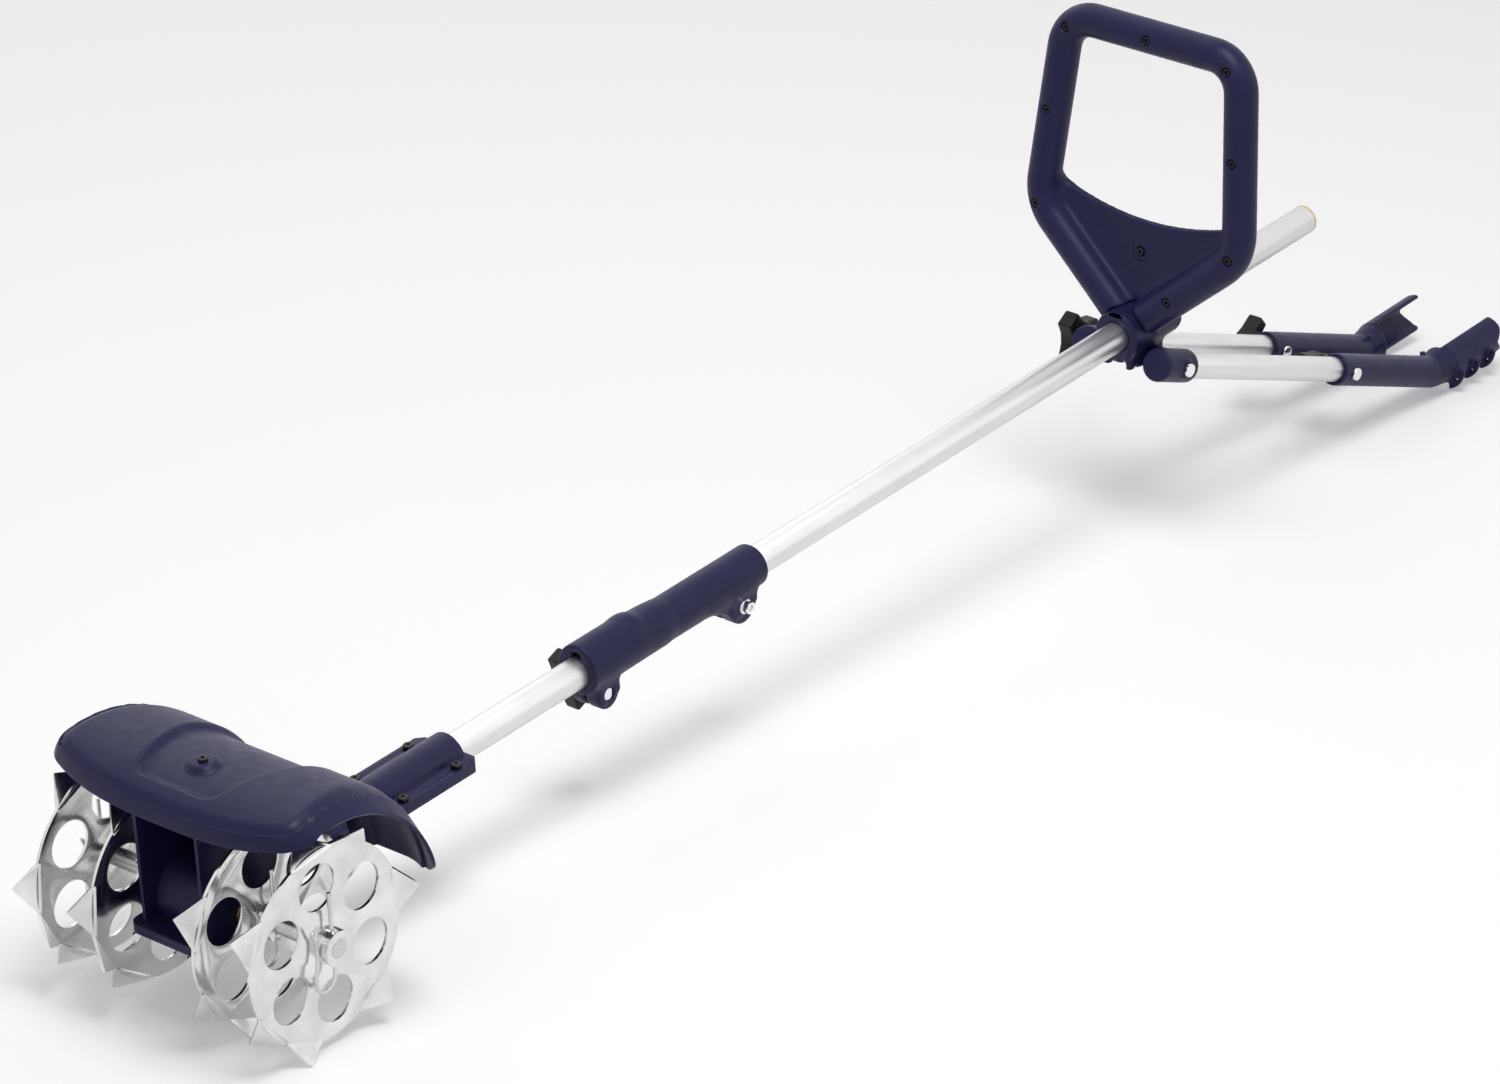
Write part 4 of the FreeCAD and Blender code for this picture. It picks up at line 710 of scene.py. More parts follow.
@dataclass
class HoodShell:
    """Splash hood over the tines: two raised wings, a sunken middle panel, and a steeper band round its edge.

    All sizes are millimetres or degrees in the shaft frame. Angles are counted from the tube's upward
    direction, over the top, towards the front.
    """

    workshop: Workshop
    radius: float = 118.0
    wall: float = 2.8
    half_width: float = 127.6
    front_angle: float = 121.0
    front_end_angle: float = 108.5
    front_corner: float = 15.0
    rear_angle: float = 4.0
    rear_corner: float = 24.0
    notch_half: float = 33.0
    notch_angle: float = 16.5
    notch_ease: float = 4.0
    band: float = 13.5
    band_drop: float = 16.0
    end_spread: float = 0.02
    spread_angles: tuple[float, float] = (100.0, 70.0)
    band_round: float = 4.5
    panel_half: float = 39.0
    panel_spread: float = 0.38
    panel_spread_angle: float = 36.0
    panel_depth: float = 5.0
    panel_slope: float = 6.0
    panel_front: float = 106.0
    panel_corner: float = 11.0
    boss_radius: tuple[float, float] = (15.0, 9.0)
    boss_rise: float = 4.0
    columns: int = 150
    rows: int = 110

    def front_edge(self, y: float) -> float:
        """Angle of the front edge at a station along the axle."""
        share = abs(y) / self.half_width
        angle = self.front_angle - (self.front_angle - self.front_end_angle) * share ** 3
        into = (abs(y) - (self.half_width - self.front_corner)) / self.front_corner
        if into > 0:
            reach = math.degrees(self.front_corner / self.radius)
            angle -= reach * (1.0 - math.sqrt(max(0.0, 1.0 - into * into)))
        return angle

    def rear_edge(self, y: float) -> float:
        """Angle of the rear edge, raised over the neck and rounded at its corners."""
        into = (abs(y) - (self.half_width - self.rear_corner)) / self.rear_corner
        corner = 0.0
        if into > 0:
            reach = math.degrees(self.rear_corner / self.radius)
            corner = reach * (1.0 - math.sqrt(max(0.0, 1.0 - into * into)))
        notch = smooth_step((self.notch_half + self.notch_ease / 2 - abs(y)) / self.notch_ease)
        return self.rear_angle + corner + (self.notch_angle - self.rear_angle) * notch

    def drop(self, y: float, angle: float) -> float:
        """How far the surface lies inside the hood's full radius."""
        per_degree = math.radians(self.radius)
        to_front = (self.front_edge(y) - angle) * per_degree
        widening = 1.0 + self.end_spread * min(max(self.spread_angles[0] - angle, 0.0), self.spread_angles[1])
        to_end = (self.half_width - abs(y)) / widening
        near = max(self.band_round * 2.0 - abs(to_front - to_end), 0.0) / (self.band_round * 2.0)
        inward = min(to_front, to_end) - near * near * self.band_round / 2.0
        into_band = self.band - inward
        if into_band > self.band_round:
            fall = into_band - self.band_round / 2.0
        elif into_band > -self.band_round:
            fall = (into_band + self.band_round) ** 2 / (4.0 * self.band_round)
        else:
            fall = 0.0
        slope = self.band_drop / self.band
        behind = min(max(self.panel_front - angle, 0.0), self.panel_spread_angle)
        half = self.panel_half + self.panel_spread * behind
        to_side = half - abs(y)
        to_edge = (self.panel_front - angle) * per_degree
        corner = self.panel_corner
        beyond = math.hypot(max(corner - to_side, 0.0), max(corner - to_edge, 0.0))
        inside = corner - beyond if min(to_side, to_edge) < corner else min(to_side, to_edge)
        panel = self.panel_depth * smooth_step(0.5 + inside / self.panel_slope)
        x = (self.radius - panel) * math.cos(math.radians(angle))
        top, foot = self.boss_radius[1], self.boss_radius[0]
        boss = self.boss_rise * smooth_step((foot - math.hypot(x, y)) / (foot - top))
        return fall * slope + panel - boss

    def point(self, y: float, angle: float) -> Point:
        """Point of the outer surface."""
        reach = self.radius - self.drop(y, angle)
        turn = math.radians(angle)
        return reach * math.cos(turn), y, reach * math.sin(turn)

    def build(self) -> None:
        """Make the shell and let it stand for the hood."""
        grid = bmesh.new()
        lines = []
        for column in range(self.columns + 1):
            across = math.sin(math.pi * (column / self.columns - 0.5) * 0.5) / math.sin(math.pi / 4)
            y = self.half_width * across
            start, stop = self.rear_edge(y), self.front_edge(y)
            lines.append([grid.verts.new(self.point(y, start + (stop - start) * row / self.rows))
                          for row in range(self.rows + 1)])
        for left, right in zip(lines, lines[1:]):
            for row in range(self.rows):
                grid.faces.new((left[row], right[row], right[row + 1], left[row + 1]))
        bmesh.ops.recalc_face_normals(grid, faces=grid.faces)
        if sum(face.normal.z for face in grid.faces) < 0:
            bmesh.ops.reverse_faces(grid, faces=grid.faces)
        mesh = bpy.data.meshes.new("hood_shell")
        grid.to_mesh(mesh)
        grid.free()
        mesh = with_modifiers(mesh, [
            ("SOLIDIFY", {"thickness": self.wall, "offset": -1.0, "use_even_offset": True}),
            ("BEVEL", {"width": self.wall * 0.3, "segments": 2, "limit_method": "ANGLE",
                       "angle_limit": math.radians(60.0)}),
        ])
        self.workshop.finish(mesh, "hood_shell", "hood", "navy_plastic", sharp=math.radians(70.0))


def rounded_run(points: Sequence[tuple[float, float]], radii: Sequence[float],
                steps: int = 10) -> list[tuple[float, float]]:
    """Flat open path whose inner corners are rounded.

    Args:
        points: Corners of the path.
        radii: Radius at each inner corner.
        steps: Runs along each corner's arc.

    Returns:
        The path's points.
    """
    path = [points[0]]
    for before, corner, after, radius in zip(points, points[1:], points[2:], radii):
        into = (Vector(before) - Vector(corner)).normalized()
        out = (Vector(after) - Vector(corner)).normalized()
        half_turn = into.angle(out) / 2.0
        middle = (into + out).normalized()
        centre = Vector(corner) + middle * (radius / math.sin(half_turn))
        first = Vector(corner) + into * (radius / math.tan(half_turn)) - centre
        turn = first.angle_signed(Vector(corner) + out * (radius / math.tan(half_turn)) - centre)
        for step in range(steps + 1):
            angle = -turn * step / steps
            spoke = Matrix.Rotation(angle, 2) @ first
            path.append((centre.x + spoke.x, centre.y + spoke.y))
    path.append(points[-1])
    return path


@dataclass
class LoopHandle:
    """Loop handle in two shells, with a sunken web between its legs and a split collar round the tube.

    The loop is worked out flat, X across and Y up, and leans back with the grip. Sizes are millimetres.
    """

    workshop: Workshop
    pitch: float = 1.4
    lean: float = math.radians(9.48)
    origin_x: float = 1121.2
    grip_radius: float = 14.5
    top: tuple[float, float] = (89.0, 255.49)
    elbow: tuple[float, float] = (103.5, 88.0)
    foot: tuple[float, float] = (14.0, 12.0)
    corner_radii: Sequence[float] = (42.0, 30.0, 30.0, 42.0)
    web_depth: tuple[float, float] = (6.0, 14.0)
    web_top: tuple[float, float] = (114.0, 93.0)
    bead: float = 5.0
    bead_rise: float = 1.6
    boss: tuple[float, float] = (8.5, 66.6)
    parting: float = 9.5
    fillet: float = 10.0
    collar_radius: float = 21.5
    collar_run: tuple[float, float] = (1100.0, 1166.0)
    bore: float = 13.05
    ear: tuple[float, float] = (9.0, 14.0)
    ear_outline: Sequence[tuple[float, float]] = (
        (1100.0, -8.0), (1148.0, -8.0), (1148.0, -27.7), (1139.0, -36.7), (1118.0, -36.7), (1109.0, -27.7),
        (1100.0, -36.7))
    slit_half: float = 2.5
    pivot: tuple[float, float, float] = (1131.0, -29.3, 4.4)
    screw_hole: float = 4.3
    sunk: float = 3.6

    @property
    def place(self) -> Matrix:
        """The loop's own frame in the shaft frame."""
        up = Vector((math.sin(self.lean), 0.0, math.cos(self.lean)))
        back = Vector((math.cos(self.lean), 0.0, -math.sin(self.lean)))
        matrix = Matrix((Vector((0.0, 1.0, 0.0)), up, back)).transposed().to_4x4()
        matrix.translation = Vector((self.origin_x, 0.0, 0.0))
        return matrix

    def screw_spots(self) -> list[tuple[float, float]]:
        """Places of the loop's screws, across and up."""
        (top_x, top_y), (low_x, low_y), (foot_x, foot_y) = self.top, self.elbow, self.foot
        right = [(top_x * 0.93, top_y * 0.97), ((top_x + low_x) / 2, (top_y + low_y) / 2),
                 (low_x * 0.97, low_y)]
        spots = [(sign * x, y) for sign in (-1.0, 1.0) for x, y in right]
        share = 0.32
        return [*spots, (0.0, top_y), (-foot_x - share * (low_x - foot_x), foot_y + share * (low_y - foot_y))]

    def grip(self, lattice: Lattice) -> np.ndarray:
        """Distances of the loop with its web, beads and boss."""
        right = [self.top, self.elbow, self.foot]
        corners = [*((-x, y) for x, y in reversed(right)), *right]
        path = rounded_run(corners, self.corner_radii)
        loop = lattice.chain([(x, y, 0.0) for x, y in path], self.grip_radius)
        low, high = self.web_depth
        half, (end, middle) = self.elbow[0], self.web_top
        arc = [(half * share, middle + (end - middle) * share * share)
               for share in np.linspace(-1.0, 1.0, 17)]
        outline = [(-self.foot[0], self.foot[1]), (-half, self.elbow[1]), *arc,
                   (half, self.elbow[1]), self.foot]
        web = lattice.plate([(float(x), float(y)) for x, y in outline], low, high, "z", 2.0)
        depth = low + self.bead - self.bead_rise
        for sign in (-1.0, 1.0):
            ridge = lattice.rod((sign * 3.0, 30.0, depth), (sign * 84.0, 100.0, depth + 1.5), self.bead)
            web = blended(web, ridge, 5.0)
        boss = lattice.bar((0.0, self.boss[1], low - 2.0), (0.0, self.boss[1], high), self.boss[0] - 1.0,
                           self.boss[0], 0.6)
        body = blended(loop, blended(web, boss, 1.5), self.fillet)
        for x, y in self.screw_spots():
            hole = lattice.bar((x, y, -2.0 * self.grip_radius), (x, y, self.sunk - self.grip_radius + 0.6),
                               self.screw_hole, edge=0.2)
            body = carved(body, hole, 1.2)
        hole = lattice.bar((0.0, self.boss[1], -self.grip_radius), (0.0, self.boss[1], low + 1.0),
                           self.screw_hole, edge=0.2)
        return carved(body, hole, 1.0)

    def collar(self, shaft: Lattice) -> np.ndarray:
        """Distances of the collar with its ears, before the tube's way is cut."""
        start, stop = self.collar_run
        ring = shaft.bar((start, 0.0, 0.0), (stop, 0.0, 0.0), self.collar_radius, edge=1.2)
        for sign in (-1.0, 1.0):
            near, far = sorted((sign * self.ear[0], sign * self.ear[1]))
            ring = blended(ring, shaft.plate(self.ear_outline, near, far, "y", 1.0), 4.0)
        return ring

    def cut_ways(self, body: np.ndarray, shaft: Lattice) -> np.ndarray:
        """The body less the tube's way, the collar's slit and the pivot's hole."""
        start, stop = self.collar_run
        body = carved(body, shaft.bar((start - 40.0, 0.0, 0.0), (stop + 40.0, 0.0, 0.0), self.bore), 1.2)
        slit = shaft.slab((start - PAST, -self.slit_half, -FAR), (stop + PAST, self.slit_half, 0.0))
        body = carved(body, slit, 0.8)
        x, z, radius = self.pivot
        return carved(body, shaft.bar((x, -FAR, z), (x, FAR, z), radius), 0.8)

    def build(self) -> None:
        """Make both shells."""
        place = self.place
        lattice = Lattice((-121.0, -32.0, -24.0), (121.0, 274.0, 50.0), self.pitch)
        front_lattice = Lattice((-121.0, -12.0, -17.0), (121.0, 274.0, 12.0), self.pitch)
        shaft = front_lattice.seen_from(place.inverted())
        start, stop = self.collar_run
        room = shaft.bar((start - FAR, 0.0, 0.0), (stop + FAR, 0.0, 0.0), self.collar_radius + 0.3)
        front = kept(self.grip(front_lattice), front_lattice.z - self.parting + 0.1, 0.7)
        front = carved(front, room, 1.0)
        mesh = front_lattice.skin(front, "handle_front")
        self.workshop.finish(mesh, "handle_front", "handle_front_shell", "navy_plastic", place)
        shaft = lattice.seen_from(place.inverted())
        back = kept(self.grip(lattice), self.parting + 0.1 - lattice.z, 0.7)
        back = self.cut_ways(blended(back, self.collar(shaft), 6.0), shaft)
        mesh = lattice.skin(back, "handle_back")
        self.workshop.finish(mesh, "handle_back", "handle_back_shell", "navy_plastic", place)


@dataclass
class Coupler:
    """Sleeve that joins the two tubes, with a split lug under each end. Sizes are millimetres."""

    workshop: Workshop
    pitch: float = 1.2
    run: tuple[float, float] = (405.0, 618.0)
    thick_end: float = 474.0
    taper_end: float = 503.0
    radius: float = 18.0
    thick_radius: float = 19.6
    lift: float = 7.5
    hump_radius: float = 16.2
    bore: float = 12.85
    keyway: tuple[float, float, float] = (38.0, 4.5, 17.2)
    lug_half: float = 14.0
    low_lug: tuple[float, float, float] = (425.0, -24.0, 12.7)
    up_lug: tuple[float, float, float] = (590.0, -21.0, 15.5)
    slit_half: float = 1.5
    bolt_hole: float = 3.2
    head_hole: tuple[float, float] = (5.4, 3.0)

    def lug(self, lattice: Lattice, lug: tuple[float, float, float], root: float) -> np.ndarray:
        """Distances of one lug with its root."""
        x, z, radius = lug
        half = self.lug_half
        disc = lattice.bar((x, -half, z), (x, half, z), radius, edge=1.2)
        outline = ((x - root, -6.0), (x + radius, -6.0), (x + radius, z),
                   (x - radius * 0.55, z - radius * 0.45))
        return blended(disc, lattice.plate(outline, -half, half, "y", 1.2), 5.0)

    def build(self) -> None:
        """Make the sleeve and let it stand for the coupler's body."""
        start, stop = self.run
        lattice = Lattice((start - 3.0, -25.0, -42.0), (stop + 3.0, 25.0, 28.0), self.pitch)
        before = start - 20.0
        sleeve = lattice.bar((before, 0.0, 0.0), (stop, 0.0, 0.0), self.radius, edge=1.5)
        thick = lattice.bar((before, 0.0, 0.0), (self.taper_end, 0.0, 0.0),
                            self.thick_radius, self.radius - 0.8, 9.0)
        high = self.lift
        hump = lattice.bar((before, 0.0, high), (self.thick_end, 0.0, high), self.hump_radius, edge=9.0)
        slope = lattice.bar((self.thick_end - 22.0, 0.0, high), (self.taper_end + 6.0, 0.0, 0.0),
                            self.hump_radius, self.radius - 1.2, 9.0)
        body = blended(blended(sleeve, thick, 4.0), blended(hump, slope, 6.0), 5.0)
        body = blended(body, self.lug(lattice, self.low_lug, 18.0), 5.0)
        body = blended(body, self.lug(lattice, self.up_lug, 44.0), 7.0)
        body = kept(body, start - lattice.x, 1.5)
        body = carved(body, lattice.bar((start - PAST, 0.0, 0.0), (stop + PAST, 0.0, 0.0), self.bore), 1.2)
        length, half, top = self.keyway
        body = carved(body, lattice.slab((start - 9.0, -half, 0.0), (start + length, half, top), 1.5), 1.0)
        for low_x, high_x in ((start - 9.0, self.low_lug[0] + self.low_lug[2] + 3.0),
                              (self.up_lug[0] - self.up_lug[2] - 3.0, stop + 9.0)):
            slit = lattice.slab((low_x, -self.slit_half, -FAR), (high_x, self.slit_half, 0.0), 0.3)
            body = carved(body, slit, 0.7)
        for x, z, _ in (self.low_lug, self.up_lug):
            body = carved(body, lattice.bar((x, -FAR, z), (x, FAR, z), self.bolt_hole), 0.8)
        x, z, _ = self.low_lug
        radius, deep = self.head_hole
        body = carved(body, lattice.bar((x, -FAR, z), (x, deep - self.lug_half, z), radius, edge=0.3), 0.8)
        mesh = lattice.skin(body, "coupler_sleeve")
        self.workshop.finish(mesh, "coupler_sleeve", "coupler_body", "navy_plastic")


@dataclass
class DrillArm:
    """Arm that carries the drill: a moulded barrel on the pivot and a saddle that slides on its tube.

    Each arm is worked out along its own X from the pivot, for the right side, and mirrored for the left.
    Sizes are millimetres.
    """

    workshop: Workshop
    side: Side
    pitch: float = 1.1
    pivot: Point = (1131.0, 37.5, -29.3)
    turn: float = math.radians(23.8)
    barrel: tuple[float, float, float] = (14.5, -27.5, 17.0)
    tube_way: tuple[float, float] = (11.15, 10.0)
    boss: tuple[float, float] = (12.0, 23.2)
    pivot_hole: float = 4.4
    sleeve: tuple[float, float, float] = (14.25, 252.5, 414.0)
    sleeve_way: tuple[float, float] = (11.3, 400.5)
    bolt: tuple[float, float] = (267.0, 2.8)
    pad_radius: float = 18.0
    pad_inner: float = 14.0
    pad_length: float = 92.0
    tail: float = 9.0
    plate: tuple[float, float, float] = (4.0, 24.0, 6.5)
    button: tuple[float, float, float] = (2.8, 4.5, math.radians(30.0))

    @property
    def place(self) -> Matrix:
        """The arm's own frame in the shaft frame."""
        x, y, z = self.pivot
        return Matrix.Translation((x, self.side.value * y, z)) @ Matrix.Rotation(self.turn, 4, "Y")

    def add_barrel(self) -> None:
        """Make the barrel on the pivot."""
        radius, low, high = self.barrel
        lattice = Lattice((low - 3.0, -19.0, -18.0), (high + 3.0, 26.0, 18.0), self.pitch)
        body = lattice.bar((low, 0.0, 0.0), (high, 0.0, 0.0), radius, edge=2.0)
        boss = lattice.bar((0.0, 0.0, 0.0), (0.0, self.boss[1], 0.0), self.boss[0], edge=0.8)
        body = blended(body, boss, 2.5)
        body = blended(body, lattice.bar((0.0, 0.4 - radius, 0.0), (0.0, 0.0, 0.0), 8.6, edge=0.8), 0.8)
        way, start = self.tube_way
        body = carved(body, lattice.bar((start, 0.0, 0.0), (high + PAST, 0.0, 0.0), way, edge=0.2), 0.8)
        body = carved(body, lattice.bar((0.0, -FAR, 0.0), (0.0, FAR, 0.0), self.pivot_hole), 0.8)
        self.deliver(lattice, body, "arm_barrel", "arm_socket")

    def pad(self, lattice: Lattice) -> np.ndarray:
        """Distances of the trough that holds the drill, with its strap lugs."""
        turned = lattice.seen_from(Matrix.Translation((self.sleeve[2], 0.0, 0.0))
                                   @ Matrix.Rotation(-self.turn, 4, "Y"))
        outer, inner, length = self.pad_radius, self.pad_inner, self.pad_length
        shell = turned.bar((outer, 0.0, 0.0), (length, 0.0, 0.0), outer, edge=2.5)
        flare = turned.bar((0.0, 0.0, 0.0), (outer + 4.0, 0.0, 0.0), self.sleeve[0], outer, 0.5)
        body = blended(shell, flare, 1.0)
        thick, step, rise = self.plate
        for index in range(3):
            start = outer + step * index
            lug = turned.bar((start, 0.0, 0.0), (start + thick, 0.0, 0.0), outer + rise, edge=1.2)
            lug = kept(lug, turned.slab((start - 3.0, -2.0 * outer, -2.0 * outer),
                                        (start + thick + 3.0, -inner / 2 - 1.0, 0.0), 1.0), 1.5)
            hole = turned.bar((start - 9.0, -outer * 0.87, -outer * 0.62),
                              (start + 9.0, -outer * 0.87, -outer * 0.62), 1.9)
            body = blended(body, carved(lug, hole, 0.6), 2.5)
        body = carved(body, turned.bar((outer, 0.0, 0.0), (length + 40.0, 0.0, 0.0), inner, edge=4.0), 1.5)
        body = carved(body, turned.slab((outer, 0.0, -FAR), (length + FAR, FAR, FAR), 1.0), 1.5)
        mouth = ((length + 20.0, self.tail + inner / 2 + 20.0), (length - self.tail, 0.0),
                 (length + 20.0, -self.tail - inner / 2 - 20.0))
        return carved(body, turned.plate(mouth, -FAR, FAR, "y", 0.5), 1.5)

    def add_saddle(self) -> None:
        """Make the saddle with its elbow, trough and button."""
        radius, start, elbow = self.sleeve
        lattice = Lattice((start - 3.0, -27.0, -28.0), (elbow + 97.0, 19.0, 58.0), self.pitch)
        body = lattice.bar((start, 0.0, 0.0), (elbow, 0.0, 0.0), radius, edge=1.5)
        body = np.minimum(body, lattice.rod((elbow, 0.0, 0.0), (elbow + 0.1, 0.0, 0.0), radius))
        body = blended(body, self.pad(lattice), 1.0)
        small, rise, lean = self.button
        tip = (elbow - 5.0, (radius + rise) * math.sin(lean), (radius + rise) * math.cos(lean))
        body = blended(body, lattice.bar((elbow - 5.0, 0.0, 0.0), tip, small, edge=1.0), 1.5)
        way, depth = self.sleeve_way
        body = carved(body, lattice.bar((start - PAST, 0.0, 0.0), (depth, 0.0, 0.0), way), 1.0)
        x, hole = self.bolt
        body = carved(body, lattice.bar((x, -FAR, 0.0), (x, FAR, 0.0), hole), 0.6)
        self.deliver(lattice, body, "drill_saddle", "saddle")

    def deliver(self, lattice: Lattice, body: np.ndarray, name: str, node: str) -> None:
        """Turn distances into a finished piece of this side."""
        side = self.side
        mesh = lattice.skin(body, f"{name}_{side.word}", mirrored=side is Side.LEFT)
        self.workshop.finish(mesh, f"{name}_{side.word}", f"{node}_{side.word}", "navy_plastic", self.place)

    def build(self) -> None:
        """Make both mouldings of the arm."""
        self.add_barrel()
        self.add_saddle()


class KnobForm(Enum):
    """Shapes of clamping knob, as the angles of their lobes in degrees from the arm's or tube's direction."""

    WING_ALONG = (0.0, 180.0)
    WING_TURNED = (-60.0, 120.0)
    WING_UP = (-110.0, 70.0)
    THREE_LOBED = (0.0, 120.0, 240.0)


@dataclass
class ClampKnob:
    """Black moulded knob on a stem, its lobes flat-sided with rounded edges. Sizes are millimetres.

    The knob is worked out about Z, its stem's foot at zero.
    """

    workshop: Workshop
    name: str
    node: str
    form: KnobForm
    place: Matrix
    radius: float
    bore: float
    stem: float = 6.0
    thick: float = 15.0
    neck: float = 7.5
    hub: float = 7.5
    lobe_half: float = 7.0
    ease: float = 2.2
    pitch: float = 0.8

    def build(self) -> None:
        """Make the knob and let it stand for its node."""
        reach = self.radius + 2.0
        high = self.stem + self.thick
        lattice = Lattice((-reach, -reach, -2.0), (reach, reach, high + 2.0), self.pitch)
        body = lattice.bar((0.0, 0.0, 0.4), (0.0, 0.0, high - 0.5), self.neck, edge=1.0)
        hub = lattice.bar((0.0, 0.0, self.stem), (0.0, 0.0, high), self.hub, edge=self.ease)
        body = np.minimum(body, hub)
        for angle in self.form.value:
            turned = lattice.seen_from(Matrix.Rotation(math.radians(angle), 4, "Z"))
            outline = ((0.0, -self.hub), (self.radius, -self.lobe_half), (self.radius, self.lobe_half),
                       (0.0, self.hub))
            lobe = turned.plate(outline, self.stem, high, "z", self.ease)
            body = blended(body, lobe, 3.0)
        body = carved(body, lattice.bar((0.0, 0.0, -9.0), (0.0, 0.0, self.stem + self.thick / 2), self.bore,
                                        edge=0.2), 0.5)
        mesh = lattice.skin(body, self.name)
        self.workshop.finish(mesh, self.name, self.node, "black_plastic", self.place)


def clamp_knobs(workshop: Workshop) -> list[ClampKnob]:
    """The four knobs, each on its bolt.

    Args:
        workshop: Gives them their places and finishes.

    Returns:
        The knobs, not yet built.
    """
    outwards = Matrix.Rotation(math.radians(-90.0), 4, "X")
    knobs = [
        ClampKnob(workshop, "pivot_clamp_knob", "pivot_knob", KnobForm.THREE_LOBED,
                  Matrix.Translation((1131.0, 52.3, -29.3)) @ outwards, 22.5, 4.4, hub=11.5, lobe_half=7.5),
        ClampKnob(workshop, "coupler_clamp_knob", "coupler_knob", KnobForm.WING_UP,
                  Matrix.Translation((425.0, 14.3, -24.0)) @ outwards, 27.0, 3.4),
    ]
    for side, form in ((Side.RIGHT, KnobForm.WING_ALONG), (Side.LEFT, KnobForm.WING_TURNED)):
        arm = DrillArm(workshop, side)
        place = arm.place @ Matrix.Translation((arm.bolt[0], arm.sleeve[0] + 0.3, 0.0)) @ outwards
        knobs.append(ClampKnob(workshop, f"saddle_clamp_knob_{side.word}", f"saddle_knob_{side.word}", form,
                               place, 22.0, 2.9, lobe_half=6.0))
    return knobs


